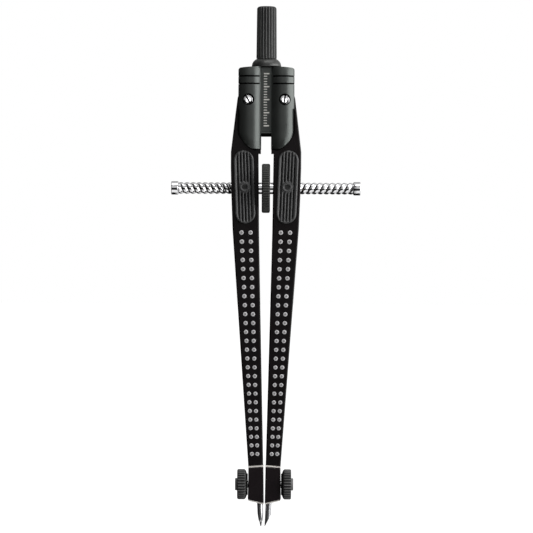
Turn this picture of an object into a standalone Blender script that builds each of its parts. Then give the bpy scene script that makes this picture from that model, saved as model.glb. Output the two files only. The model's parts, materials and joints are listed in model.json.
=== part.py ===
# Drawing compass: geared head, two legs, double-start spindle with a setting wheel, and two clamped points.
# Sizes are in millimetres. Z = 0 is the plane of the two tips, x = 0 lies midway between the legs,
# and the front of the head faces -Y. Scaled to metres as each mesh is made.
import bmesh
import bpy
from math import acos, atan2, cos, pi, radians, sin, tan
from mathutils import Matrix, Vector

MM = 0.001
LEFT, RIGHT = -1, 1
SIDES = (("left", LEFT), ("right", RIGHT))
GAP = 0.08  # between pieces that touch

# Head
PIVOT_X, PIVOT_Z = 6.3, 147.5
HEAD_HALF_WIDTH, HEAD_TOP, HEAD_CORNER, CROWN_RADIUS = 9.6, 158.9, 0.9, 80.0
STRIP_HALF_WIDTH, STRIP_BOTTOM, STRIP_DEPTH = 1.7, 134.95, 3.3
PRONG_BOTTOM, PRONG_FOOT_X, PRONG_CURVE_TOP = 130.6, 4.7, 136.3
PRONG_FLATNESS = 1.33  # 1 is an ellipse and 2 a straight cut
LOBE_CREST, LOBE_EDGE = 5.6, 3.7
SHELL_INSIDE = 2.35
SIDE_WALL_BOTTOM = 151.5
CAVITY_HALF_WIDTH, CAVITY_TOP = 8.3, 157.4
GROOVES_Z, GROOVE_WIDTH, GROOVE_DEPTH = (155.5, 152.9), 0.6, 0.35
BRIDGE_SIZE, BRIDGE_Z = (15.6, 4.2, 1.9), 156.3

# Pivot screws and sleeves
SCREW_HEAD_RADIUS, SCREW_HEAD_TOP, SCREW_HEAD_SEAT = 1.55, 5.4, 4.5
SCREW_SHANK_RADIUS, SCREW_END = 1.1, 5.0
SCREW_SLOT_WIDTH, SCREW_SLOT_DEPTH = 0.55, 0.5
SCREW_SLOT_ANGLES = {"left": -59.0, "right": 82.0}
COUNTERBORE_RADIUS = 1.8
SLEEVE_OUTSIDE, SLEEVE_INSIDE, SLEEVE_HALF = 1.65, 1.2, 2.25

# Gear that makes both legs open by the same angle
GEAR_MODULE, GEAR_TEETH, TEETH_PER_LEG = 0.9, 14, 3
PRESSURE_ANGLE = radians(20)
BACKLASH = 0.2
FIRST_TOOTH = {"left": 0.0, "right": -0.5}  # lowest tooth, in pitches above the line of centres

# Legs
KNUCKLE_RADIUS = 3.7
LEG_OUTER = ((5.6, 21.0), (11.42, 102.5), (11.9, 114.3), (12.15, 124.0), (12.15, 129.5), (10.05, 147.4))
LEG_INNER = ((2.6, 129.1), (2.43, 114.3), (2.3, 102.5), (1.97, 87.0), (0.43, 21.45))
LEG_END_Z = 21.0
LEG_END_DEPTH, LEG_DEPTH_SLOPE = 2.6, 0.0157
LEG_EDGE = 0.5
NECK_X, NECK_HALF_DEPTH = 1.8, 2.15
RELIEF_RADIUS, RELIEF_GAP, RELIEF_TOP = 17.75, 0.25, 144.5
SOCKET = (1.85, 4.35, 1.3, 29.2)  # inner x, outer x, half depth, top
PIN_Z, PIN_RADIUS = 25.2, 0.5

# Spindle, wheel and nuts
SPINDLE_Z, NUT_X = 117.06, 7.4
SPINDLE_RADIUS, THREAD_ROOT, THREAD_LEAD = 2.0, 1.45, 4.2
THREAD_START, THREAD_END, SPINDLE_HALF = 2.9, 30.1, 32.75
COLLAR_RADIUS = 2.3
SPINDLE_JOURNAL = 1.0
MOST_OPENING = radians(40)
CHANNEL_HALF_HEIGHT, CHANNEL_HALF_DEPTH, CHANNEL_REACH = 2.5, 2.9, 6.5
NUT_RADIUS, NUT_HALF, NUT_JOURNAL, NUT_JOURNAL_END, NUT_BORE = 3.2, 2.75, 1.1, 4.35, 2.15
WHEEL_RADIUS, WHEEL_HALF_WIDTH, WHEEL_RIBS = 8.5, 1.43, 36

# Grip pads
PAD_WIDTH, PAD_LENGTH, PAD_CENTRE, PAD_TILT = 7.1, 25.3, (7.4, 117.45), radians(2.2)
PAD_BACK, PAD_FACE, PAD_FLOOR = 3.68, 4.8, 3.6
PAD_GROOVES, PAD_PITCH, PAD_GROOVE = 5, 1.1, 0.5
PAD_BOSS_RADIUS, PAD_BOSS_TOP = 1.45, 5.0

# Points and their chucks
POINT_TILT = radians(2.55)
POINT_X, POINT_Z = 1.5, 8.5  # a place on the point's axis
POINT_RADIUS, POINT_TOP = 1.0, 20.0
CHUCK_OUTLINE = ((0.35, 20.75), (5.58, 20.4), (5.72, 9.45), (0.17, 8.25))
CHUCK_HALF_DEPTH, CORE_HALF_DEPTH, CORE_OUTSIDE = 2.6, 1.82, 4.77
KNOB_Z = 14.57
KNOB_RADIUS, KNOB_RIBS, KNOB_RIB = 5.1, 24, 0.35
CLAMP_RADIUS, SLUG_START, SLUG_END, CLAMP_END = 1.2, 2.87, 3.97, 8.9

# Handle
GRIP_BOTTOM, GRIP_TOP, GRIP_FLUTES, GRIP_FLUTE = 161.85, 180.0, 20, 0.3
GRIP_BOTTOM_RADIUS, GRIP_TOP_RADIUS, GRIP_EDGE = 3.45, 3.3, 0.9
COLLAR_BOTTOM, COLLAR_BASE_RADIUS = 158.98, 5.07
STEM_RADIUS, STEM_BORE, STEM_BOTTOM, STEM_TOP = 1.5, 1.6, 155.45, 172.0

AXES = {"X": Vector((1, 0, 0)), "Y": Vector((0, 1, 0)), "Z": Vector((0, 0, 1))}


def clear_scene():
    for old in list(bpy.data.objects):
        bpy.data.objects.remove(old, do_unlink=True)


def collection(name, hidden=False):
    made = bpy.data.collections.new(name)
    bpy.context.scene.collection.children.link(made)
    made.hide_render = hidden
    return made


def material(name, colour, roughness, metallic):
    made = bpy.data.materials.new(name)
    made.use_nodes = True
    shader = made.node_tree.nodes["Principled BSDF"]
    shader.inputs["Base Color"].default_value = (*colour, 1)
    shader.inputs["Roughness"].default_value = roughness
    shader.inputs["Metallic"].default_value = metallic
    made.diffuse_color = (*colour, 1)
    return made


def axis_empty(name, at):
    empty = bpy.data.objects.new(name, None)
    empty.location = Vector(at) * MM
    empty.empty_display_size = 4 * MM
    parts.objects.link(empty)
    return empty


def add_object(name, shape, look, axis=None, turn=None, at=(0, 0, 0)):
    """Makes an object from a bmesh in millimetres. at is the object's origin, and axis the empty it hangs from."""
    mesh = bpy.data.meshes.new(name)
    bmesh.ops.scale(shape, vec=(MM, MM, MM), verts=shape.verts)
    shape.to_mesh(mesh)
    shape.free()
    made = bpy.data.objects.new(name, mesh)
    parts.objects.link(made)
    mesh.materials.append(look)
    made.location = Vector(at) * MM
    if turn:
        made.rotation_euler = turn.to_euler()
    if axis:
        made.parent = axis
        made.location = made.location - axis.location
    return made


def add_cutter(name, shape):
    mesh = bpy.data.meshes.new(name)
    bmesh.ops.scale(shape, vec=(MM, MM, MM), verts=shape.verts)
    shape.to_mesh(mesh)
    shape.free()
    made = bpy.data.objects.new(name, mesh)
    cutters.objects.link(made)
    made.hide_render = True
    made.display_type = "WIRE"
    return made


def boolean(target, other, operation="DIFFERENCE"):
    modifier = target.modifiers.new(f"{operation.lower()} {other.name}", "BOOLEAN")
    modifier.operation = operation
    modifier.solver = "EXACT"
    modifier.object = other


def cut(target, name, shape):
    boolean(target, add_cutter(f"{target.name}_{name}", shape))


def join(target, name, shape):
    boolean(target, add_cutter(f"{target.name}_{name}", shape), "UNION")


def moved(shape, origin):
    bmesh.ops.translate(shape, vec=-Vector(origin), verts=shape.verts)
    return shape


def prism(outline, start, end, axis="Y", shape=None):
    """An outline of (x, z) pairs run along Y, or of (x, y) pairs run along Z."""
    shape = shape or bmesh.new()
    place = (lambda a, b: (a, start, b)) if axis == "Y" else (lambda a, b: (a, b, start))
    face = shape.faces.new([shape.verts.new(place(a, b)) for a, b in outline])
    made = bmesh.ops.extrude_face_region(shape, geom=[face])["geom"]
    ends = [v for v in made if isinstance(v, bmesh.types.BMVert)]
    bmesh.ops.translate(shape, vec=AXES[axis] * (end - start), verts=ends)
    bmesh.ops.recalc_face_normals(shape, faces=shape.faces)
    return shape


def box(low, high, shape=None):
    shape = shape or bmesh.new()
    low, high = Vector(low), Vector(high)
    size = Matrix.Diagonal((*(high - low), 1))
    bmesh.ops.create_cube(shape, size=1, matrix=Matrix.Translation((low + high) / 2) @ size)
    return shape


def cylinder(radius, start, end, segments=20, shape=None, end_radius=None):
    shape = shape or bmesh.new()
    start, end = Vector(start), Vector(end)
    turn = (end - start).to_track_quat("Z", "Y").to_matrix().to_4x4()
    bmesh.ops.create_cone(
        shape, cap_ends=True, segments=segments, radius1=radius, depth=(end - start).length,
        radius2=radius if end_radius is None else end_radius,
        matrix=Matrix.Translation((start + end) / 2) @ turn)
    return shape


def turned(name, profile, look, at, axis="Z", steps=24, closed=False, empty=None):
    """Turns a profile of (radius, height) pairs, listed downwards on its outer side, about an axis through at."""
    shape = bmesh.new()
    verts = [shape.verts.new((radius, 0, height)) for radius, height in profile]
    for a, b in zip(verts, verts[1:] + verts[:1] * closed):
        shape.edges.new((a, b))
    turn = AXES["Z"].rotation_difference(AXES[axis]) if isinstance(axis, str) else axis
    made = add_object(name, shape, look, empty, turn.to_matrix(), at)
    screw = made.modifiers.new("turned", "SCREW")
    screw.steps = screw.render_steps = steps
    screw.use_merge_vertices = True
    screw.merge_threshold = 1e-5
    return made


def ribbed(sections, ribs):
    """A solid about Z through rings of (height, radius, rib depth)."""
    shape = bmesh.new()
    ring = bmesh.ops.create_circle(shape, segments=2 * ribs, radius=1)["verts"]

    def place(verts, height, radius, rib):
        for vert in verts:
            angle = atan2(vert.co.y, vert.co.x)
            low = round(angle * ribs / pi) % 2
            reach = radius - rib * low
            vert.co = (reach * cos(angle), reach * sin(angle), height)

    place(ring, *sections[0])
    edges = list(shape.edges)
    bmesh.ops.contextual_create(shape, geom=edges)
    for section in sections[1:]:
        made = bmesh.ops.extrude_edge_only(shape, edges=edges)["geom"]
        edges = [e for e in made if isinstance(e, bmesh.types.BMEdge)]
        place([v for v in made if isinstance(v, bmesh.types.BMVert)], *section)
    bmesh.ops.contextual_create(shape, geom=edges)
    bmesh.ops.recalc_face_normals(shape, faces=shape.faces)
    return shape


def arc(centre, radius, start, end, steps):
    """Points on an arc, or on an ellipse where radius is a pair. Angles in degrees."""
    wide, high = radius if isinstance(radius, tuple) else (radius, radius)
    angles = [radians(start + (end - start) * i / steps) for i in range(steps + 1)]
    return [(centre[0] + wide * cos(a), centre[1] + high * sin(a)) for a in angles]


def on_side(side, outline):
    return [(side * x, z) for x, z in outline]


# ---- head ----

def prong_curve(grow=0.0, steps=8):
    """Outer lower corner of a cover lobe, from its side down to its foot."""
    wide, high = HEAD_HALF_WIDTH - PRONG_FOOT_X + grow, PRONG_CURVE_TOP - PRONG_BOTTOM + grow
    turns = [pi / 2 * i / steps for i in range(steps)]
    curve = [(PRONG_FOOT_X + wide * cos(a) ** PRONG_FLATNESS, PRONG_CURVE_TOP - high * sin(a) ** PRONG_FLATNESS)
             for a in turns]
    return curve + [(PRONG_FOOT_X, PRONG_CURVE_TOP - high)]


def crown(x):
    return x, HEAD_TOP - x * x / (2 * CROWN_RADIUS)


def cover_silhouette():
    """Two prongs and the strip between them, under a crowned top."""
    x, top = crown(HEAD_HALF_WIDTH - HEAD_CORNER)
    right = [(STRIP_HALF_WIDTH, PRONG_BOTTOM)] + prong_curve()[::-1] + arc((x, top - HEAD_CORNER), HEAD_CORNER, 0, 84, 4)
    right += [crown(6), crown(3)]
    strip = [(-STRIP_HALF_WIDTH, STRIP_BOTTOM), (STRIP_HALF_WIDTH, STRIP_BOTTOM)]
    return right + [(0, HEAD_TOP)] + on_side(LEFT, right[::-1]) + strip


def lobe_arc(grow, steps=10):
    """Front of the right-hand lobe in (x, y), from the strip outwards."""
    half = (HEAD_HALF_WIDTH - STRIP_HALF_WIDTH) / 2
    rise = LOBE_CREST - LOBE_EDGE
    radius = (half * half + rise * rise) / (2 * rise)
    centre = (STRIP_HALF_WIDTH + half, -LOBE_CREST + radius)
    spread = 90 - atan2(radius - rise, half) * 180 / pi
    return arc(centre, radius + grow, -90 - spread, -90 + spread, steps)


def cover_section():
    past = HEAD_HALF_WIDTH + 1
    right = lobe_arc(0) + [(past, -LOBE_EDGE), (past, -0.05)]
    strip = [(-STRIP_HALF_WIDTH, -STRIP_DEPTH), (STRIP_HALF_WIDTH, -STRIP_DEPTH)]
    return on_side(LEFT, right[::-1]) + strip + right


def groove_section():
    side = HEAD_HALF_WIDTH - GROOVE_DEPTH
    inner = [p for p in lobe_arc(-GROOVE_DEPTH) if STRIP_HALF_WIDTH + 0.7 < p[0] < side - 0.2]
    outer = [p for p in lobe_arc(1.5) if p[0] > STRIP_HALF_WIDTH + 0.7]
    return inner + [(side, -LOBE_EDGE), (side, 1), (HEAD_HALF_WIDTH + 2, 1)] + outer[::-1]


def head_cover(name, look, front):
    cover = add_object(name, prism(cover_section(), PRONG_BOTTOM - 2, HEAD_TOP + 2, "Z"), look)
    boolean(cover, add_cutter(f"{name}_silhouette", prism(cover_silhouette(), -9, 2)), "INTERSECT")
    wide, low, wall, top = HEAD_HALF_WIDTH + 3, PRONG_BOTTOM - 5, SIDE_WALL_BOTTOM, CAVITY_TOP
    half = [(wide, low), (wide, wall), (CAVITY_HALF_WIDTH, wall), (CAVITY_HALF_WIDTH, top)]
    cut(cover, "cavity", prism(half + on_side(LEFT, half[::-1]), -SHELL_INSIDE, 2))
    pockets, grooves, bores = bmesh.new(), bmesh.new(), bmesh.new()
    for _, side in SIDES:
        x = sorted((side * 3.2, side * 8.2))
        box((x[0], -4.0, 133), (x[1], -2, 143.2), pockets)
        for z in GROOVES_Z:
            prism(on_side(side, groove_section()), z - GROOVE_WIDTH / 2, z + GROOVE_WIDTH / 2, "Z", grooves)
        cylinder(SCREW_SHANK_RADIUS + 0.1, (side * PIVOT_X, -9, PIVOT_Z), (side * PIVOT_X, 0, PIVOT_Z), 24, bores)
    cut(cover, "pockets", pockets)
    cut(cover, "grooves", grooves)
    cylinder(STEM_BORE, (0, 0, CAVITY_TOP - 3), (0, 0, HEAD_TOP + 3), 24, bores)
    cut(cover, "bores", bores)
    if front:
        seats = bmesh.new()
        for _, side in SIDES:
            cylinder(COUNTERBORE_RADIUS, (side * PIVOT_X, -9, PIVOT_Z),
                     (side * PIVOT_X, -SCREW_HEAD_SEAT + GAP, PIVOT_Z), 24, seats)
        cut(cover, "seats", seats)
        return
    half_turn = Matrix.Rotation(pi, 4, "Z")
    for item in [cover] + [m.object for m in cover.modifiers]:
        item.rotation_euler = half_turn.to_euler()


def head(looks):
    head_cover("head_front_cover", looks["cover"], True)
    head_cover("head_rear_cover", looks["cover"], False)
    size = Vector(BRIDGE_SIZE) / 2
    middle = Vector((0, 0, BRIDGE_Z))
    bridge = add_object("head_bridge", box(middle - size, middle + size), looks["steel"])
    cut(bridge, "bore", cylinder(STEM_BORE, (0, 0, 150), (0, 0, 160)))
    for name, side in SIDES:
        pivot_screw(f"{name}_pivot_screw", looks["chrome"], side * PIVOT_X, radians(SCREW_SLOT_ANGLES[name]))
        profile = [(SLEEVE_INSIDE, SLEEVE_HALF), (SLEEVE_OUTSIDE, SLEEVE_HALF)]
        profile += [(radius, -height) for radius, height in profile[::-1]]
        turned(f"{name}_pivot_sleeve", profile, looks["brass"], (side * PIVOT_X, 0, PIVOT_Z), "Y", closed=True)


def pivot_screw(name, look, x, angle):
    """Its Z runs from the threaded end, at the rear, to the slotted head."""
    profile = [(0, SCREW_HEAD_TOP), (SCREW_HEAD_RADIUS - 0.3, SCREW_HEAD_TOP - 0.03),
               (SCREW_HEAD_RADIUS, SCREW_HEAD_TOP - 0.3), (SCREW_HEAD_RADIUS, SCREW_HEAD_SEAT),
               (SCREW_SHANK_RADIUS, SCREW_HEAD_SEAT), (SCREW_SHANK_RADIUS, -SCREW_END + 0.3),
               (SCREW_SHANK_RADIUS - 0.3, -SCREW_END), (0, -SCREW_END)]
    forward = Vector((0, 0, 1)).rotation_difference(Vector((0, -1, 0)))
    screw = turned(name, profile, look, (x, 0, PIVOT_Z), forward, steps=20)
    slot = box((-3, -SCREW_HEAD_TOP - 1, -SCREW_SLOT_WIDTH / 2),
               (3, -SCREW_HEAD_TOP + SCREW_SLOT_DEPTH, SCREW_SLOT_WIDTH / 2))
    bmesh.ops.rotate(slot, verts=slot.verts, matrix=Matrix.Rotation(-angle, 3, "Y"))
    bmesh.ops.translate(slot, verts=slot.verts, vec=(x, 0, PIVOT_Z))
    cut(screw, "slot", slot)


def handle(looks):
    rings = [(GRIP_BOTTOM, GRIP_BOTTOM_RADIUS, GRIP_FLUTE), (GRIP_TOP - GRIP_EDGE, GRIP_TOP_RADIUS, GRIP_FLUTE),
             (GRIP_TOP - 0.25, GRIP_TOP_RADIUS - 0.25, 0.2), (GRIP_TOP, GRIP_TOP_RADIUS - GRIP_EDGE, 0)]
    grip = add_object("handle_grip", ribbed(rings, GRIP_FLUTES), looks["handle"])
    cut(grip, "bore", cylinder(STEM_BORE, (0, 0, GRIP_BOTTOM - 5), (0, 0, STEM_TOP + GAP)))
    dome = arc((0, 0), 1, 68, 0, 4)
    rise = GRIP_BOTTOM - GAP - COLLAR_BOTTOM
    dome_top = GRIP_BOTTOM_RADIUS
    swell = COLLAR_BASE_RADIUS - dome_top
    low, high = dome[0]
    profile = [(STEM_BORE, rise)]
    profile += [(dome_top + swell * (a - low) / (1 - low), rise * b / high) for a, b in dome]
    profile += [(STEM_BORE, 0)]
    turned("handle_collar", profile, looks["handle"], (0, 0, COLLAR_BOTTOM), closed=True)
    length = STEM_TOP - STEM_BOTTOM
    turned("handle_stem", [(0, length), (STEM_RADIUS, length), (STEM_RADIUS, 0), (0, 0)], looks["steel"],
           (0, 0, STEM_BOTTOM), steps=24)


# ---- legs ----

def involute(radius, base):
    angle = acos(min(1, base / radius))
    return tan(angle) - angle


def gear_points(name):
    """The teeth of one leg in (x, z) about its pivot, from the highest tooth down. The mating gear lies at -x."""
    pitch_radius = GEAR_MODULE * GEAR_TEETH / 2
    base = pitch_radius * cos(PRESSURE_ANGLE)
    root, tip = pitch_radius - 1.25 * GEAR_MODULE, pitch_radius + GEAR_MODULE
    half_tooth = (pi * GEAR_MODULE - BACKLASH) / 4 / pitch_radius
    radii = (root, base, pitch_radius, (pitch_radius + tip) / 2, tip)
    halves = [half_tooth + involute(pitch_radius, base) - involute(max(r, base), base) for r in radii]
    points = []
    for tooth in reversed(range(TEETH_PER_LEG)):
        middle = (FIRST_TOOTH[name] + tooth) * 2 * pi / GEAR_TEETH
        flank = [(r, middle + half) for r, half in zip(radii, halves)]
        flank += [(r, 2 * middle - angle) for r, angle in reversed(flank)]
        points += [(-r * cos(angle), r * sin(angle)) for r, angle in flank]
    return points


def leg_outline(name):
    teeth = [(PIVOT_X + x, PIVOT_Z + z) for x, z in gear_points(name)]
    top_angle = 180 - (FIRST_TOOTH[name] + TEETH_PER_LEG - 0.5) * 360 / GEAR_TEETH
    knuckle = arc((PIVOT_X, PIVOT_Z), KNUCKLE_RADIUS, 0, top_angle, 9)
    neck = [(NECK_X, 144.7), (NECK_X, LEG_INNER[0][1])]
    return list(LEG_OUTER) + knuckle[1:] + teeth + neck + list(LEG_INNER)


def leg_body(name, side):
    shape = prism(on_side(side, leg_outline(name)), -1, 1)
    for vert in shape.verts:
        vert.co.y *= LEG_END_DEPTH + (vert.co.z - LEG_END_Z) * LEG_DEPTH_SLOPE
    edges = [e for e in shape.edges if e.verts[0].co.y * e.verts[1].co.y > 0
             and max(v.co.z for v in e.verts) < RELIEF_TOP and e.calc_length() > 6]
    bmesh.ops.bevel(shape, geom=edges, offset=LEG_EDGE, segments=1, profile=0.5, affect="EDGES")
    bmesh.ops.recalc_face_normals(shape, faces=shape.faces)
    return shape


def relief_outline():
    """What the covers sweep, seen from the leg, as it opens."""
    foot = arc((PIVOT_X, PIVOT_Z), RELIEF_RADIUS, -97.5, -115, 4)
    outer = HEAD_HALF_WIDTH + RELIEF_GAP
    return [(14, RELIEF_TOP), (outer, RELIEF_TOP)] + prong_curve(RELIEF_GAP) + foot + [(-4, 135), (-4, 165), (14, 165)]


def channel_outline():
    """Room for the spindle in the leg, from closed to fully open."""
    reach, half = CHANNEL_REACH, CHANNEL_HALF_HEIGHT
    waist = half * (1 - cos(MOST_OPENING)) / sin(MOST_OPENING)
    far = half / cos(MOST_OPENING) + reach * tan(MOST_OPENING)
    points = [(reach, half), (waist, half), (-reach, far)]
    points += [(-x, -z) for x, z in points]
    return [(NUT_X + x, SPINDLE_Z + z) for x, z in points]


def stadium(width, length, side, steps=10):
    """Pad outline, leaning with its leg."""
    straight = (length - width) / 2
    points = arc((0, straight), width / 2, 0, 180, steps) + arc((0, -straight), width / 2, 180, 360, steps)
    turn = Matrix.Rotation(-PAD_TILT, 2)
    leaned = [turn @ Vector(p) for p in points]
    return [(side * (PAD_CENTRE[0] + p.x), PAD_CENTRE[1] + p.y) for p in leaned]


def leg(name, side, looks, empty):
    pivot = (side * PIVOT_X, 0, PIVOT_Z)
    body = add_object(f"{name}_leg", moved(leg_body(name, side), pivot), looks["leg"], empty, at=pivot)
    relief, recess = bmesh.new(), bmesh.new()
    for face in (-1, 1):
        prism(on_side(side, relief_outline()), face * NECK_HALF_DEPTH, face * 9, shape=relief)
        prism(stadium(PAD_WIDTH + 0.2, PAD_LENGTH + 0.2, side), face * PAD_FLOOR, face * 9, shape=recess)
    cut(body, "relief", relief)
    cut(body, "recess", recess)
    cut(body, "channel", prism(on_side(side, channel_outline()), -CHANNEL_HALF_DEPTH, CHANNEL_HALF_DEPTH))
    x = side * NUT_X
    cut(body, "barrel", cylinder(NUT_RADIUS + 0.15, (x, -CHANNEL_HALF_DEPTH, SPINDLE_Z),
                                 (x, CHANNEL_HALF_DEPTH, SPINDLE_Z), 32))
    holes = cylinder(NUT_JOURNAL + 0.12, (x, -9, SPINDLE_Z), (x, 9, SPINDLE_Z))
    cylinder(SLEEVE_OUTSIDE + 0.1, (pivot[0], -9, PIVOT_Z), (pivot[0], 9, PIVOT_Z), shape=holes)
    cut(body, "holes", holes)
    inner, outer, depth, top = SOCKET
    low, high = sorted((side * inner, side * outer))
    cut(body, "socket", box((low, -depth, LEG_END_Z - 5), (high, depth, top)))
    cut(body, "pin_hole", cylinder(PIN_RADIUS + 0.06, (0, 0, PIN_Z), (side * 5.1, 0, PIN_Z), 16))


def pad(name, side, face, look, empty):
    pivot = (side * PIVOT_X, 0, PIVOT_Z)
    outline = stadium(PAD_WIDTH, PAD_LENGTH, side)
    made = add_object(name, moved(prism(outline, face * PAD_BACK, face * PAD_FACE), pivot), look, empty, at=pivot)
    grooves = bmesh.new()
    depth = sorted((face * (PAD_FACE - 0.35), face * 9))
    turn = Matrix.Rotation(side * PAD_TILT, 3, "Y")
    for i in range(PAD_GROOVES):
        across = (i - (PAD_GROOVES - 1) / 2) * PAD_PITCH
        half = ((PAD_WIDTH / 2 - 0.35) ** 2 - (abs(across) - PAD_GROOVE / 2) ** 2) ** 0.5
        half = (PAD_LENGTH - PAD_WIDTH) / 2 + half - 0.5
        before = len(grooves.verts)
        box((across - PAD_GROOVE / 2, depth[0], -half), (across + PAD_GROOVE / 2, depth[1], half), grooves)
        grooves.verts.ensure_lookup_table()
        fresh = grooves.verts[before:]
        bmesh.ops.rotate(grooves, verts=fresh, matrix=turn)
        bmesh.ops.translate(grooves, verts=fresh, vec=(side * PAD_CENTRE[0], 0, PAD_CENTRE[1]))
    cut(made, "grooves", grooves)
    x = side * NUT_X
    start, end = (x, face * (PAD_BACK + 0.3), SPINDLE_Z), (x, face * PAD_BOSS_TOP, SPINDLE_Z)
    join(made, "boss", cylinder(PAD_BOSS_RADIUS, start, end, 24))
    cut(made, "seat", cylinder(NUT_JOURNAL + 0.12, (x, 0, SPINDLE_Z), (x, face * (NUT_JOURNAL_END + GAP), SPINDLE_Z)))


# ---- spindle ----

def spindle_shape():
    """One run of rings along X: two-start thread, left half right-handed and right half its mirror image."""
    shape = bmesh.new()
    ring = bmesh.ops.create_circle(shape, segments=10, radius=1, matrix=Matrix.Rotation(pi / 2, 4, "Y"))["verts"]
    turn_steps = 8
    count = round((THREAD_END - THREAD_START) / THREAD_LEAD * turn_steps)
    half = [(THREAD_END - (THREAD_END - THREAD_START) * i / count, 1) for i in range(count + 1)]
    stations = [(-SPINDLE_HALF + 0.5, SPINDLE_JOURNAL, 0), (-THREAD_END - 0.01, SPINDLE_JOURNAL, 0)]
    stations += [(-x, None, x) for x, _ in half]
    stations += [(-THREAD_START + 0.05, SPINDLE_RADIUS, 0)]
    stations += [(-x, radius, twist) for x, radius, twist in reversed(stations)]

    def place(verts, x, radius, twist):
        for vert in verts:
            angle = atan2(vert.co.z, vert.co.y)
            wave = cos(2 * (angle + 2 * pi * twist / THREAD_LEAD))
            middle, swing = (SPINDLE_RADIUS + THREAD_ROOT) / 2, (SPINDLE_RADIUS - THREAD_ROOT) / 2
            reach = radius or middle + swing * wave
            vert.co = (x, reach * cos(angle), reach * sin(angle))

    place(ring, *stations[0])
    edges = list(shape.edges)
    bmesh.ops.contextual_create(shape, geom=edges)
    for station in stations[1:]:
        made = bmesh.ops.extrude_edge_only(shape, edges=edges)["geom"]
        edges = [e for e in made if isinstance(e, bmesh.types.BMEdge)]
        place([v for v in made if isinstance(v, bmesh.types.BMVert)], *station)
    bmesh.ops.contextual_create(shape, geom=edges)
    bmesh.ops.recalc_face_normals(shape, faces=shape.faces)
    return shape


def spindle(looks, empty):
    centre = (0, 0, SPINDLE_Z)
    add_object("spindle", spindle_shape(), looks["chrome"], empty, at=centre)
    rim, flat = WHEEL_RADIUS, WHEEL_HALF_WIDTH
    rings = [(-flat, rim - 0.35, 0.1), (-flat + 0.25, rim - 0.05, 0.3), (flat - 0.25, rim, 0.3), (flat, rim - 0.3, 0.1)]
    wheel = add_object("spindle_wheel", ribbed(rings, WHEEL_RIBS), looks["wheel"], empty,
                       Matrix.Rotation(pi / 2, 3, "Y"), centre)
    cut(wheel, "bore", cylinder(SPINDLE_RADIUS + GAP, (-5, 0, SPINDLE_Z), (5, 0, SPINDLE_Z)))
    for name, side in SIDES:
        length = SPINDLE_HALF - THREAD_END - 0.05
        bore = SPINDLE_JOURNAL + GAP
        profile = [(0, length), (COLLAR_RADIUS - 0.2, length), (COLLAR_RADIUS, length - 0.2), (COLLAR_RADIUS, 0.2),
                   (COLLAR_RADIUS - 0.2, 0), (bore, 0), (bore, length - 0.4), (0, length - 0.4)]
        outward = Vector((0, 0, 1)).rotation_difference(Vector((side, 0, 0)))
        turned(f"{name}_stop_collar", profile, looks["chrome"], (side * (THREAD_END + 0.05), 0, SPINDLE_Z), outward,
               steps=20, empty=empty)


def spindle_nut(name, side, look, empty):
    profile = [(0, NUT_JOURNAL_END), (NUT_JOURNAL, NUT_JOURNAL_END), (NUT_JOURNAL, NUT_HALF), (NUT_RADIUS, NUT_HALF)]
    profile += [(radius, -height) for radius, height in profile[::-1]]
    at = (side * NUT_X, 0, SPINDLE_Z)
    nut = turned(f"{name}_spindle_nut", profile, look, at, "Y", steps=24, empty=empty)
    cut(nut, "bore", cylinder(NUT_BORE, (at[0] - 6, 0, SPINDLE_Z), (at[0] + 6, 0, SPINDLE_Z)))


# ---- chucks and points ----

def on_point_axis(side, z):
    return Vector((side * (POINT_X + (z - POINT_Z) * tan(POINT_TILT)), 0, z))


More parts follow.
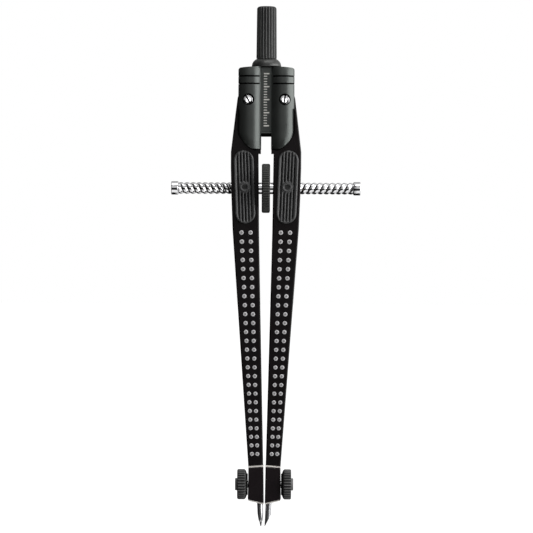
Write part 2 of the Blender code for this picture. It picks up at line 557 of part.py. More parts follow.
def chuck(name, side, looks, empty):
    (top_in, z_in), (top_out, z_out), (low_out, foot_out), (low_in, foot_in) = CHUCK_OUTLINE
    pivot = (side * PIVOT_X, 0, PIVOT_Z)
    clamp = (side * 2.2, 0, KNOB_Z), (side * 9, 0, KNOB_Z)

    sleeve = prism(on_side(side, CHUCK_OUTLINE), -CHUCK_HALF_DEPTH, CHUCK_HALF_DEPTH)
    sleeve = add_object(f"{name}_chuck_sleeve", moved(sleeve, pivot), looks["chuck"], empty, at=pivot)
    core = sorted((side * -2, side * (CORE_OUTSIDE + GAP)))
    cut(sleeve, "cavity", box((core[0], -CORE_HALF_DEPTH - GAP, 5), (core[1], CORE_HALF_DEPTH + GAP, 25)))
    cut(sleeve, "clamp_hole", cylinder(CLAMP_RADIUS + 0.2, *clamp))

    body = [(top_in, z_in + 0.3), (CORE_OUTSIDE, z_out + 0.3), (CORE_OUTSIDE, foot_out - 0.4), (low_in, foot_in - 0.15)]
    body = prism(on_side(side, body), -CORE_HALF_DEPTH, CORE_HALF_DEPTH)
    body = add_object(f"{name}_chuck", moved(body, pivot), looks["nickel"], empty, at=pivot)
    ledges = [(top_in, z_in + 0.07), (top_out, z_out + 0.07), (top_out, z_out + 0.5), (top_in + 0.05, z_in + 0.6)]
    ledges = prism(on_side(side, ledges), -2.5, 2.5)
    rim = [(low_in, foot_in - 0.07), (low_out - 0.1, foot_out - 0.07), (low_out - 0.3, foot_out - 0.45),
           (low_in + 0.1, foot_in - 0.45)]
    prism(on_side(side, rim), -2.3, 2.3, shape=ledges)
    join(body, "ledges", ledges)
    inner, outer, depth, top = SOCKET
    low, high = sorted((side * (inner + 0.1), side * (outer - 0.1)))
    join(body, "tenon", box((low, -depth + 0.1, z_out), (high, depth - 0.1, top - 0.2)))
    cut(body, "point_hole", cylinder(POINT_RADIUS + 0.06, on_point_axis(side, 2), on_point_axis(side, POINT_TOP + 0.6)))
    cut(body, "clamp_hole", cylinder(CLAMP_RADIUS + 0.1, *clamp))
    cut(body, "pin_hole", cylinder(PIN_RADIUS + 0.06, (0, 0, PIN_Z), (side * 8, 0, PIN_Z), 16))
    add_object(f"{name}_chuck_pin", cylinder(PIN_RADIUS, (side * 0.8, 0, PIN_Z), (side * 5.0, 0, PIN_Z), 16),
               looks["steel"], empty)


def clamp(name, side, looks, slug_empty, knob_empty):
    slug = cylinder(CLAMP_RADIUS, (side * SLUG_START, 0, KNOB_Z), (side * SLUG_END, 0, KNOB_Z), 20)
    add_object(f"{name}_clamp_slug", slug, looks["brass"], slug_empty)
    outward = Vector((0, 0, 1)).rotation_difference(Vector((side, 0, 0)))
    start = SLUG_END + GAP
    profile = [(0, CLAMP_END), (CLAMP_RADIUS, CLAMP_END), (CLAMP_RADIUS, start), (0, start)]
    turned(f"{name}_clamp_screw", profile, looks["steel"], (0, 0, KNOB_Z), outward, steps=16, empty=knob_empty)
    rings = [(5.82, 3.2, 0), (5.9, 3.2, 0), (6.6, KNOB_RADIUS, KNOB_RIB), (9.05, KNOB_RADIUS, KNOB_RIB),
             (9.25, KNOB_RADIUS - 0.25, 0.2), (9.27, 2.15, 0), (10.0, 2.1, 0)]
    knob = add_object(f"{name}_clamp_knob", ribbed(rings, KNOB_RIBS), looks["knob"], knob_empty,
                      outward.to_matrix(), (0, 0, KNOB_Z))
    cut(knob, "bore", cylinder(CLAMP_RADIUS + GAP, (side * 4, 0, KNOB_Z), (side * (CLAMP_END + GAP), 0, KNOB_Z), 20))


def points(looks, needle_empty, lead_empty):
    """Each point's Z runs up its own axis from its tip."""
    for side, empty in ((LEFT, needle_empty), (RIGHT, lead_empty)):
        tip = on_point_axis(side, 0)
        up = on_point_axis(side, 1) - tip
        turn = Vector((0, 0, 1)).rotation_difference(up)
        length = (on_point_axis(side, POINT_TOP) - tip).length
        shank = [(0, length), (POINT_RADIUS - 0.1, length), (POINT_RADIUS, length - 0.1)]
        if side == LEFT:
            profile = shank + [(POINT_RADIUS, 4.6), (0.85, 3.0), (0.38, 1.9), (0.02, 0)]
            turned("needle", profile + [(0, 0)], looks["steel"], tip, turn, steps=16, empty=empty)
            continue
        lead = turned("lead", shank + [(POINT_RADIUS, 0), (0, 0)], looks["lead"], tip, turn, steps=16, empty=empty)
        low = tip.x - 1.2
        wedge = [(low, -1.4), (low + 4.5, -1.4), (low + 4.5, 8.2), (low + 0.3, 0)]
        cut(lead, "bevel", prism(wedge, -3, 3))


def build():
    looks = {
        "handle": material("handle_plastic", (0.045, 0.045, 0.045), 0.5, 0),
        "cover": material("cover_lacquer", (0.05, 0.053, 0.052), 0.38, 0.3),
        "leg": material("leg_lacquer", (0.012, 0.01, 0.011), 0.45, 0),
        "pad": material("pad_rubber", (0.03, 0.03, 0.03), 0.7, 0),
        "wheel": material("wheel_plastic", (0.02, 0.02, 0.019), 0.5, 0),
        "knob": material("knob_plastic", (0.045, 0.045, 0.045), 0.55, 0),
        "chuck": material("chuck_plastic", (0.013, 0.01, 0.011), 0.45, 0),
        "chrome": material("chrome", (0.75, 0.75, 0.76), 0.12, 1),
        "nickel": material("nickel", (0.72, 0.69, 0.65), 0.25, 1),
        "steel": material("steel", (0.5, 0.5, 0.5), 0.3, 1),
        "brass": material("brass", (0.7, 0.52, 0.25), 0.3, 1),
        "lead": material("graphite", (0.06, 0.06, 0.065), 0.45, 0.3),
    }
    head(looks)
    handle(looks)
    spindle_axis = axis_empty("spindle_axis", (0, 0, SPINDLE_Z))
    spindle(looks, spindle_axis)
    point_axes = []
    for name, side in SIDES:
        leg_axis = axis_empty(f"{name}_leg_axis", (side * PIVOT_X, 0, PIVOT_Z))
        leg(name, side, looks, leg_axis)
        pad(f"{name}_front_pad", side, -1, looks["pad"], leg_axis)
        pad(f"{name}_rear_pad", side, 1, looks["pad"], leg_axis)
        chuck(name, side, looks, leg_axis)
        spindle_nut(name, side, looks["brass"], axis_empty(f"{name}_nut_axis", (side * NUT_X, 0, SPINDLE_Z)))
        clamp_axis = axis_empty(f"{name}_clamp_axis", (0, 0, KNOB_Z))
        clamp(name, side, looks, clamp_axis, clamp_axis)
        point_axes.append(axis_empty(f"{name}_point_axis", on_point_axis(side, 0)))
    points(looks, *point_axes)
    for made in parts.objects:
        if made.type == "MESH":
            made.data.shade_smooth()
            made.data.set_sharp_from_angle(angle=radians(35))


clear_scene()
parts = collection("drawing_compass")
cutters = collection("cutters", hidden=True)
build()
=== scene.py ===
# Drawing compass: lacquered covers and legs, rubber grip pads, chromed spindle and its setting wheel.
# Lengths are in millimetres until a piece is finished; +Z is up and the front faces -Y.
import json
from math import acos, atan2, cos, exp, hypot, pi, radians, sin, tan, tanh

import bmesh
import bpy
from mathutils import Matrix, Vector

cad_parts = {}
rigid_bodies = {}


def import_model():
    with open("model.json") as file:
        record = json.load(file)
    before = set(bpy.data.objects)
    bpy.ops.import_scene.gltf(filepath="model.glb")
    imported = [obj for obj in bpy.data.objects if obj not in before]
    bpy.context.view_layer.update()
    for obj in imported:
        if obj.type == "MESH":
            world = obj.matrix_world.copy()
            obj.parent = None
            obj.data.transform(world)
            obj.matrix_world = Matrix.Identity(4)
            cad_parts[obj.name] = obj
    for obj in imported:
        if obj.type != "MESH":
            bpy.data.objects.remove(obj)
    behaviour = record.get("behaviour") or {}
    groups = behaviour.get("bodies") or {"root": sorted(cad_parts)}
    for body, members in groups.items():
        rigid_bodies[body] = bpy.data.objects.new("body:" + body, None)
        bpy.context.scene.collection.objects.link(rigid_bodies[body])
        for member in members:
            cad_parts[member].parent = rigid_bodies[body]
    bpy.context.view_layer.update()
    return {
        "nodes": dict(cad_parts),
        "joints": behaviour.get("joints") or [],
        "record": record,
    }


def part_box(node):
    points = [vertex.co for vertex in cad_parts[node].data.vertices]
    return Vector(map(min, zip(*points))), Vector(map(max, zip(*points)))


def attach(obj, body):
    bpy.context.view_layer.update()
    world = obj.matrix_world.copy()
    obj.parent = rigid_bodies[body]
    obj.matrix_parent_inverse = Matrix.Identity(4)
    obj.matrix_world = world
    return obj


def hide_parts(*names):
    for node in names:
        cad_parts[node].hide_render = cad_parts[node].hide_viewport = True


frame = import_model()

mm = 0.001
xAxis, yAxis, zAxis = Vector((1, 0, 0)), Vector((0, 1, 0)), Vector((0, 0, 1))
sides = {"left": -1, "right": 1}
bodyOf = {node: body for body, nodes in frame["record"]["behaviour"]["bodies"].items() for node in nodes}


def cadBox(node):
    low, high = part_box(node)
    return low / mm, high / mm


def cadMiddle(node):
    low, high = cadBox(node)
    return (low + high) / 2


legSwing = Vector(frame["joints"][0]["pos_m"]) / mm
pivotX, pivotZ = abs(legSwing.x), legSwing.z
spindleZ = cadMiddle("spindle_wheel").z
nutX = cadMiddle("right_spindle_nut").x
knobZ = cadMiddle("right_clamp_knob").z


def onSide(side, outline):
    return [(side * x, z) for x, z in outline]


def arcPoints(centre, radius, start, end, steps):
    turns = [radians(start + (end - start) * i / steps) for i in range(steps + 1)]
    return [(centre[0] + radius * cos(a), centre[1] + radius * sin(a)) for a in turns]


def smoothStep(value, low, high):
    part = max(0, min(1, (value - low) / (high - low)))
    return part * part * (3 - 2 * part)


def roundOver(edge, radius):  # drop of a rounded edge, at a distance from it
    inside = max(0, radius - max(0, edge))
    return radius - (radius * radius - inside * inside) ** 0.5


def turnOnto(shape, along, centre):
    turn = zAxis.rotation_difference(Vector(along)).to_matrix()
    bmesh.ops.rotate(shape, verts=shape.verts, matrix=turn)
    bmesh.ops.translate(shape, verts=shape.verts, vec=Vector(centre))


def onlyKind(geometry, kind):
    return [item for item in geometry if isinstance(item, kind)]


def extrude(shape, edges):
    made = bmesh.ops.extrude_edge_only(shape, edges=edges)["geom"]
    return onlyKind(made, bmesh.types.BMEdge), onlyKind(made, bmesh.types.BMVert)


def roundEdges(shape, edges, offset, segments=4):
    bmesh.ops.bevel(shape, geom=edges, offset=offset, segments=segments, profile=0.5, affect="EDGES",
                    material=-1)


def cutLines(shape, direction, values):
    for value in values:
        bmesh.ops.bisect_plane(shape, geom=shape.verts[:] + shape.edges[:] + shape.faces[:], dist=1e-5,
                               plane_co=direction * value, plane_no=direction)


def rimmedFace(outline, widths):  # a flat face with narrow rings of faces along its rim
    shape = bmesh.new()
    face = shape.faces.new([shape.verts.new((x, 0, z)) for x, z in outline])
    for width in widths:
        bmesh.ops.inset_region(shape, faces=[face], thickness=width, use_even_offset=True)
    return shape


def closeBehind(shape, depth):  # walls from the rim to a flat back
    edges, verts = extrude(shape, [e for e in shape.edges if e.is_boundary])
    for vert in verts:
        vert.co.y = depth
    bmesh.ops.contextual_create(shape, geom=edges)


def prism(outline, low, high, shape=None):
    shape = shape or bmesh.new()
    face = shape.faces.new([shape.verts.new((x, low, z)) for x, z in outline])
    grown = bmesh.ops.extrude_face_region(shape, geom=[face])["geom"]
    bmesh.ops.translate(shape, verts=onlyKind(grown, bmesh.types.BMVert), vec=yAxis * (high - low))
    return shape


def block(low, high, shape=None):
    shape = shape or bmesh.new()
    low, high = Vector(low), Vector(high)
    size = Matrix.Diagonal((*(high - low), 1))
    bmesh.ops.create_cube(shape, size=1, matrix=Matrix.Translation((low + high) / 2) @ size)
    return shape


def rod(radius, start, end, segments=48, shape=None):
    shape = shape or bmesh.new()
    start, end = Vector(start), Vector(end)
    turn = (end - start).to_track_quat("Z", "Y").to_matrix().to_4x4()
    bmesh.ops.create_cone(shape, cap_ends=True, segments=segments, radius1=radius, radius2=radius,
                          depth=(end - start).length, matrix=Matrix.Translation((start + end) / 2) @ turn)
    return shape


def lathe(profile, steps, along=(0, 0, 1), centre=(0, 0, 0), closed=False):
    # the profile's points are (radius, height along the axis)
    shape = bmesh.new()
    verts = [shape.verts.new((radius, 0, height)) for radius, height in profile]
    edges = [shape.edges.new(pair) for pair in zip(verts, verts[1:] + verts[:1] * closed)]
    bmesh.ops.spin(shape, geom=verts + edges, cent=(0, 0, 0), axis=(0, 0, 1), dvec=(0, 0, 0), angle=2 * pi,
                   steps=steps, use_merge=True, use_normal_flip=False, use_duplicate=False)
    turnOnto(shape, along, centre)
    return shape


def ringLoft(stations, count, reach, along=(0, 0, 1), centre=(0, 0, 0), closed=False):
    # reach(angle, station) gives the radius; a station starts with its height
    shape = bmesh.new()
    ring = bmesh.ops.create_circle(shape, segments=count, radius=1)["verts"]

    def place(verts, station):
        for vert in verts:
            angle = atan2(vert.co.y, vert.co.x)
            radius = reach(angle, station)
            vert.co = (radius * cos(angle), radius * sin(angle), station[0])

    place(ring, stations[0])
    first = edges = list(shape.edges)
    for station in stations[1:]:
        edges, verts = extrude(shape, edges)
        place(verts, station)
    if closed:
        bmesh.ops.bridge_loops(shape, edges=first + edges)
    else:
        bmesh.ops.contextual_create(shape, geom=first)
        bmesh.ops.contextual_create(shape, geom=edges)
    turnOnto(shape, along, centre)
    return shape


def valley(angle, ribs, crispness):  # 0 on a rib's crest and 1 in the valley beside it
    return 0.5 - 0.5 * tanh(crispness * cos(ribs * angle)) / tanh(crispness)


def newObject(name, data):
    made = bpy.data.objects.new(name, data)
    bpy.context.scene.collection.objects.link(made)
    return made


def solid(shape, name, weld=0.0008):
    bmesh.ops.remove_doubles(shape, verts=shape.verts, dist=weld)
    bmesh.ops.recalc_face_normals(shape, faces=shape.faces)
    bmesh.ops.scale(shape, vec=(mm, mm, mm), verts=shape.verts)
    mesh = bpy.data.meshes.new(name)
    shape.to_mesh(mesh)
    shape.free()
    return newObject(name, mesh)


def carve(piece, shape, operation="DIFFERENCE"):
    tool = solid(shape, "cutter")
    step = piece.modifiers.new("carve", "BOOLEAN")
    step.operation, step.solver, step.object = operation, "EXACT", tool
    carved = bpy.data.meshes.new_from_object(piece.evaluated_get(bpy.context.evaluated_depsgraph_get()))
    piece.modifiers.clear()
    piece.data = carved
    bpy.data.objects.remove(tool)


def dress(piece, look, nodes=(), body=None, sharp=32, weighted=False):
    tidy = bmesh.new()
    tidy.from_mesh(piece.data)
    bmesh.ops.remove_doubles(tidy, verts=tidy.verts, dist=2e-6)
    bmesh.ops.dissolve_degenerate(tidy, edges=tidy.edges, dist=1e-7)
    tidy.to_mesh(piece.data)
    tidy.free()
    piece.data.materials.clear()
    piece.data.materials.append(look)
    piece.data.shade_smooth()
    piece.data.set_sharp_from_angle(angle=radians(sharp))
    if weighted:
        normals = piece.modifiers.new("even shading", "WEIGHTED_NORMAL")
        normals.keep_sharp = True
    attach(piece, body or bodyOf[nodes[0]])
    if nodes:
        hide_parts(*nodes)
    return piece


def shade(piece, look, test):  # a second look, a painted shade, on the faces whose centre passes the test
    piece.data.materials.append(look)
    for face in piece.data.polygons:
        if test(face.center / mm, face.normal):
            face.material_index = 1


def plainFinish(node, look):  # an inner piece keeps its CAD shape
    mesh = frame["nodes"][node].data
    mesh.materials.clear()
    mesh.materials.append(look)


def newGroup(name, inputs, outputs):
    group = bpy.data.node_groups.new(name, "ShaderNodeTree")
    for label, kind, value in inputs:
        socket = group.interface.new_socket(label, in_out="INPUT", socket_type=f"NodeSocket{kind}")
        if value is not None:
            socket.default_value = value
    for label, kind in outputs:
        group.interface.new_socket(label, in_out="OUTPUT", socket_type=f"NodeSocket{kind}")
    return group, group.nodes.new("NodeGroupInput"), group.nodes.new("NodeGroupOutput")


def addNode(tree, kind, values=(), links=(), **settings):
    node = tree.nodes.new(f"ShaderNode{kind}")
    for key, value in settings.items():
        setattr(node, key, value)
    for key, value in dict(values).items():
        node.inputs[key].default_value = value
    for key, source in dict(links).items():
        tree.links.new(source, node.inputs[key])
    return node


def makeMouldGrain():  # fine satin texture of moulded plastic or sprayed lacquer
    group, given, out = newGroup("mouldGrain", [("Vector", "Vector", None), ("Size", "Float", 0.2),
                                                ("Pits", "Float", 0.3)], [("Height", "Float")])
    scale = addNode(group, "Math", {0: 1000.0}, {1: given.outputs["Size"]}, operation="DIVIDE")
    noise = addNode(group, "TexNoise", {"Detail": 3.0, "Roughness": 0.6},
                    {"Vector": given.outputs["Vector"], "Scale": scale.outputs[0]})
    cells = addNode(group, "TexVoronoi", {}, {"Vector": given.outputs["Vector"], "Scale": scale.outputs[0]},
                    feature="F1")
    mix = addNode(group, "Mix", {}, {"Factor": given.outputs["Pits"], "A": noise.outputs["Fac"],
                                     "B": cells.outputs["Distance"]})
    group.links.new(mix.outputs[0], out.inputs["Height"])
    return group


def makeHandling():  # patches that hands have rubbed: colour and roughness
    group, given, out = newGroup("handling", [("Vector", "Vector", None), ("Base", "Color", None),
                                              ("Rubbed", "Color", None), ("Amount", "Float", 0.5),
                                              ("Roughness", "Float", 0.4), ("Spread", "Float", 0.1)],
                                 [("Color", "Color"), ("Roughness", "Float")])
    patches = addNode(group, "TexNoise", {"Scale": 160.0, "Detail": 5.0, "Roughness": 0.62},
                      {"Vector": given.outputs["Vector"]})
    mask = addNode(group, "MapRange", {"From Min": 0.42, "From Max": 0.68},
                   {"Value": patches.outputs["Fac"]})
    worn = addNode(group, "Math", {}, {0: mask.outputs[0], 1: given.outputs["Amount"]},
                   operation="MULTIPLY")
    colour = addNode(group, "Mix", {}, {"Factor": worn.outputs[0]}, data_type="RGBA")
    group.links.new(given.outputs["Base"], colour.inputs[6])
    group.links.new(given.outputs["Rubbed"], colour.inputs[7])
    group.links.new(colour.outputs[2], out.inputs["Color"])
    offset = addNode(group, "Math", {1: 0.5}, {0: patches.outputs["Fac"]}, operation="SUBTRACT")
    rough = addNode(group, "Math", {}, {0: offset.outputs[0], 1: given.outputs["Spread"],
                                        2: given.outputs["Roughness"]}, operation="MULTIPLY_ADD")
    group.links.new(rough.outputs[0], out.inputs["Roughness"])
    return group


def makeTurnedMarks():  # rings that a lathe leaves about the local Z axis
    group, given, out = newGroup("turnedMarks", [("Vector", "Vector", None), ("Pitch", "Float", 0.05)],
                                 [("Height", "Float")])
    parts = addNode(group, "SeparateXYZ", {}, {0: given.outputs["Vector"]})
    flat = addNode(group, "CombineXYZ", {}, {0: parts.outputs[0], 1: parts.outputs[1]})
    radius = addNode(group, "VectorMath", {}, {0: flat.outputs[0]}, operation="LENGTH")
    path = addNode(group, "Math", {}, {0: radius.outputs["Value"], 1: parts.outputs[2]}, operation="ADD")
    scale = addNode(group, "Math", {0: 1000.0}, {1: given.outputs["Pitch"]}, operation="DIVIDE")
    marks = addNode(group, "TexNoise", {"Detail": 2.0}, {"W": path.outputs[0], "Scale": scale.outputs[0]},
                    noise_dimensions="1D")
    group.links.new(marks.outputs["Fac"], out.inputs["Height"])
    return group


mouldGrain, handling, turnedMarks = makeMouldGrain(), makeHandling(), makeTurnedMarks()


def paintValleyShade(tree, spot, colour, floor, low, high, tone, flat):
    # painted shade: crests beyond the radius high keep their colour, valleys between floor and low are
    # painted dark as if in shade, and what lies under the floor keeps its colour too; flat measures from
    # the middle plane instead of a radius
    parts = addNode(tree, "SeparateXYZ", {}, {0: spot})
    if flat:
        reach = addNode(tree, "Math", {}, {0: parts.outputs[1]}, operation="ABSOLUTE").outputs[0]
    else:
        around = addNode(tree, "CombineXYZ", {}, {0: parts.outputs[0], 1: parts.outputs[1]})
        reach = addNode(tree, "VectorMath", {}, {0: around.outputs[0]}, operation="LENGTH").outputs["Value"]
    above = addNode(tree, "MapRange", {"From Min": low * mm, "From Max": high * mm}, {"Value": reach})
    below = addNode(tree, "MapRange", {"From Min": floor * mm, "From Max": (floor - 0.05) * mm},
                    {"Value": reach})
    light = addNode(tree, "Math", {}, {0: above.outputs[0], 1: below.outputs[0]}, operation="MAXIMUM")
    mixed = addNode(tree, "Mix", {}, {"Factor": light.outputs[0]}, data_type="RGBA")
    mixed.inputs[6].default_value = (*tone, 1)
    tree.links.new(colour, mixed.inputs[7])
    return mixed.outputs[2]


def makeFinish(name, base, rubbed, roughness, metallic=0.0, spread=0.15, amount=0.4, grain=0.2, depth=0.01,
               pits=0.3, axis=None, centre=(0, 0, 0), turned=False, valleys=None, shadow=0.16, flat=False,
               specular=0.5):
    material = bpy.data.materials.new(name)
    material.use_nodes = True
    tree = material.node_tree
    shader = tree.nodes["Principled BSDF"]
    place = tree.nodes.new("ShaderNodeTexCoord")
    turn = zAxis.rotation_difference(Vector(axis or (0, 0, 1))).inverted().to_euler()
    spot = addNode(tree, "Mapping", {"Location": -(turn.to_matrix() @ Vector(centre)) * mm,
                                     "Rotation": turn}, {"Vector": place.outputs["Object"]})
    look = addNode(tree, "Group", {"Base": (*base, 1), "Rubbed": (*rubbed, 1), "Amount": amount,
                                   "Roughness": roughness, "Spread": spread},
                   {"Vector": spot.outputs[0]}, node_tree=handling)
    colour = look.outputs["Color"]
    if valleys:
        colour = paintValleyShade(tree, spot.outputs[0], colour, *valleys,
                             tuple(value * shadow for value in base), flat)
    tree.links.new(colour, shader.inputs["Base Color"])
    tree.links.new(look.outputs["Roughness"], shader.inputs["Roughness"])
    if turned:
        marks = addNode(tree, "Group", {"Pitch": grain}, {"Vector": spot.outputs[0]}, node_tree=turnedMarks)
    else:
        marks = addNode(tree, "Group", {"Size": grain, "Pits": pits}, {"Vector": spot.outputs[0]},
                        node_tree=mouldGrain)
    bump = addNode(tree, "Bump", {"Strength": 1.0, "Distance": depth * mm},
                   {"Height": marks.outputs["Height"]})
    tree.links.new(bump.outputs[0], shader.inputs["Normal"])
    shader.inputs["Metallic"].default_value = metallic
    shader.inputs["Specular IOR Level"].default_value = specular
    material.diffuse_color = (*base, 1)
    return material


legLacquer = makeFinish("legLacquer", (0.0062, 0.0044, 0.0050), (0.0095, 0.0075, 0.0084), 0.34, amount=0.5,
                        grain=0.35, depth=0.004, specular=0.22)
coverLacquer = makeFinish("coverLacquer", (0.085, 0.092, 0.088), (0.115, 0.125, 0.118), 0.36, metallic=0.75,
                          spread=0.2, grain=0.14, depth=0.006, pits=0.15)
# padRubber, gripPlastic, knobPlastic and wheelPlastic paint shade into their rib valleys through valleys
# and shadow
padRubber = makeFinish("padRubber", (0.060, 0.060, 0.061), (0.08, 0.08, 0.08), 0.42, spread=0.2, grain=0.12,
                       depth=0.016, valleys=(3.62, 4.16, 4.44), shadow=0.26, flat=True, specular=0.55)
domePlastic = makeFinish("domePlastic", (0.066, 0.068, 0.066), (0.10, 0.10, 0.098), 0.36, metallic=0.65,
                         grain=0.3, depth=0.05)
gripPlastic = makeFinish("gripPlastic", (0.050, 0.051, 0.050), (0.072, 0.072, 0.071), 0.42, grain=0.16,
                         depth=0.012, valleys=(2.7, 3.02, 3.24))
knobPlastic = makeFinish("knobPlastic", (0.135, 0.135, 0.135), (0.17, 0.17, 0.17), 0.5, grain=0.16,
                         depth=0.014, axis=(1, 0, 0), centre=(0, 0, knobZ), valleys=(4.0, 4.9, 5.2),
                         shadow=0.1)
wheelPlastic = makeFinish("wheelPlastic", (0.043, 0.044, 0.038), (0.06, 0.061, 0.055), 0.5, grain=0.14,
                          depth=0.012, axis=(1, 0, 0), centre=(0, 0, spindleZ), valleys=(8.0, 8.3, 8.5))
chuckPlastic = makeFinish("chuckPlastic", (0.0085, 0.0048, 0.0062), (0.0125, 0.008, 0.0095), 0.4, grain=0.2,
                          depth=0.006, specular=0.25)
shadowBlack = makeFinish("shadowBlack", (0.003, 0.003, 0.003), (0.004, 0.004, 0.004), 0.8, depth=0.004,
                         specular=0.05)
# painted shade: a darker rubber tone for the recessed dimple of each pad boss
dimplePaintedShade = makeFinish("dimplePaintedShade", (0.013, 0.013, 0.013), (0.022, 0.022, 0.022), 0.5, grain=0.12,
                          depth=0.016)
dotSilver = makeFinish("dotSilver", (0.66, 0.65, 0.66), (0.76, 0.75, 0.76), 0.5, spread=0.2, grain=0.08,
                       depth=0.01)
# painted shade: a darker copy of the dot silver standing in for the dark reflection in each dot's flat dish
dotCentrePaintedShade = makeFinish("dotCentrePaintedShade", (0.27, 0.265, 0.27), (0.34, 0.335, 0.34), 0.5, grain=0.08, depth=0.01)
tickSilver = makeFinish("tickSilver", (0.74, 0.73, 0.68), (0.86, 0.85, 0.80), 0.4, metallic=0.15,
                        grain=0.08, depth=0.006)
graphite = makeFinish("graphite", (0.30, 0.30, 0.31), (0.38, 0.38, 0.39), 0.32, metallic=0.8, grain=0.06,
                      depth=0.003)
washerSteel = makeFinish("washerSteel", (0.02, 0.02, 0.02), (0.06, 0.06, 0.058), 0.5, metallic=0.5,
                         grain=0.1, depth=0.004)


def turnedMetal(name, colour, roughness, axis, centre, pitch=0.06, depth=0.0015, metallic=1.0):
    lighter = tuple(min(1, value * 1.12) for value in colour)
    return makeFinish(name, colour, lighter, roughness, metallic=metallic, spread=0.08, amount=0.5,
                      grain=pitch, depth=depth, axis=axis, centre=centre, turned=True)


chromeTone, steelTone, brassTone = (0.82, 0.82, 0.83), (0.56, 0.56, 0.57), (0.74, 0.55, 0.27)
spindleChrome = turnedMetal("spindleChrome", chromeTone, 0.07, (1, 0, 0), (0, 0, spindleZ), depth=0.0004)
nickelPlate = makeFinish("nickelPlate", (0.88, 0.84, 0.79), (0.92, 0.89, 0.84), 0.42, metallic=0.5,
                         spread=0.05, grain=0.2, depth=0.0004)
groundSteel = turnedMetal("groundSteel", (0.66, 0.66, 0.67), 0.28, (0, 0, 1), (0, 0, 0), pitch=0.04,
                          depth=0.0006, metallic=0.84)


studio = {
    "middle": (0.35, 90.0), "viewHeight": 183.9, "lens": 200.0, "sensor": 36.0, "roll": -0.3,
    "frontPlane": -4.0, "floorDrop": 0.6, "floorSize": 6.0,
}


def makeCamera():
    data = bpy.data.cameras.new("camera")
    data.type, data.lens, data.sensor_width = "PERSP", studio["lens"], studio["sensor"]
    camera = newObject("camera", data)
    distance = studio["viewHeight"] * studio["lens"] / data.sensor_width
    x, z = studio["middle"]
    camera.location = Vector((x, studio["frontPlane"] - distance, z)) * mm
    camera.rotation_euler = (pi / 2, radians(studio["roll"]), 0)
    data.clip_start, data.clip_end = 0.05, 30
    bpy.context.scene.camera = camera


def makeLight(name, power, size, place, target=(0, 0, 0.09), only=()):
    data = bpy.data.lights.new(name, "AREA")
    data.shape, data.size, data.size_y = "RECTANGLE", *size
    data.energy = power
    light = newObject(name, data)
    light.location = place
    light.rotation_euler = (Vector(target) - Vector(place)).to_track_quat("-Z", "Y").to_euler()
    light.visible_camera = False
    if only:
        lit = bpy.data.collections.new(f"{name} lights")
        for piece in only:
            lit.objects.link(piece)
        light.light_linking.receiver_collection = lit


sky = {  # brightness by height, 0 straight down and 1 straight up
    "front": ((0.0, 0.02), (0.006, 1.2), (0.19, 1.3), (0.225, 0.02), (0.50, 0.02), (0.53, 0.8), (0.75, 0.8),
              (0.79, 0.25), (0.87, 0.25), (0.90, 0.9), (1.0, 0.9)),
    "behind": ((0.0, 0.02), (0.5, 0.02), (0.62, 0.06), (0.8, 0.35), (1.0, 0.8)),
    "leftShare": 0.12, "rightBehind": 0.95, "level": 0.8,
}


def makeWorld():
    world = bpy.data.worlds.new("studio")
    bpy.context.scene.world = world
    world.use_nodes = True
    tree = world.node_tree
    tree.nodes.clear()
    place = tree.nodes.new("ShaderNodeTexCoord")
    parts = addNode(tree, "SeparateXYZ", {}, {0: place.outputs["Generated"]})
    height = addNode(tree, "MapRange", {"From Min": -1.0, "From Max": 1.0}, {"Value": parts.outputs[2]})
    bands = []
    for key in ("front", "behind"):
        node = addNode(tree, "ValToRGB", {}, {0: height.outputs[0]})
        stops = node.color_ramp.elements
        for at, value in sky[key][1:-1]:
            stops.new(at).color = (value, value, value, 1)
        for end in (0, -1):
            stops[end].position, value = sky[key][end]
            stops[end].color = (value, value, value, 1)
        bands.append(node.outputs[0])
    toRight = addNode(tree, "MapRange", {"From Min": -0.6, "From Max": -0.1, "To Min": sky["leftShare"]},
                      {"Value": parts.outputs[0]})
    front = addNode(tree, "Math", {}, {0: bands[0], 1: toRight.outputs[0]}, operation="MULTIPLY")
    away = addNode(tree, "MapRange", {"From Min": -0.05, "From Max": 0.05}, {"Value": parts.outputs[1]})
    aside = addNode(tree, "MapRange", {"From Min": 0.12, "From Max": 0.3, "To Max": sky["rightBehind"]},
                    {"Value": parts.outputs[0]})
    behind = addNode(tree, "Math", {}, {0: bands[1], 1: aside.outputs[0]}, operation="MAXIMUM")
    both = addNode(tree, "Mix", {},
                   {"Factor": away.outputs[0], "A": front.outputs[0], "B": behind.outputs[0]})
    level = addNode(tree, "Math", {1: sky["level"]}, {0: both.outputs[0]}, operation="MULTIPLY")
    path = tree.nodes.new("ShaderNodeLightPath")
    seen = addNode(tree, "Math", {}, {0: level.outputs[0], 1: path.outputs["Is Camera Ray"]},
                   operation="MAXIMUM")
    background = addNode(tree, "Background", {"Strength": 1.0}, {"Color": seen.outputs[0]})
    out = tree.nodes.new("ShaderNodeOutputWorld")
    tree.links.new(background.outputs[0], out.inputs[0])


def makeFloor():
    shape = bmesh.new()
    bmesh.ops.create_circle(shape, cap_ends=True, segments=64, radius=studio["floorSize"] / mm,
                            matrix=Matrix.Translation((0, 0, -studio["floorDrop"])))
    floor = solid(shape, "floor")
    paper = bpy.data.materials.new("floorPaper")
    paper.use_nodes = True
    shader = paper.node_tree.nodes["Principled BSDF"]
    shader.inputs["Base Color"].default_value = (0.2, 0.2, 0.2, 1)
    shader.inputs["Emission Color"].default_value = (1, 1, 1, 1)
    shader.inputs["Emission Strength"].default_value = 1.0
    floor.data.materials.append(paper)
    floor.visible_glossy = floor.visible_diffuse = False


makeCamera()
makeWorld()
makeFloor()
makeLight("rightSoftbox", 4.8, (0.72, 0.6), (0.575, -0.19, 0.14))
makeLight("topSoftbox", 1.0, (0.5, 0.3), (0.1, -0.2, 0.62))
bpy.context.scene.view_settings.view_transform = "Standard"
print("studio ready")


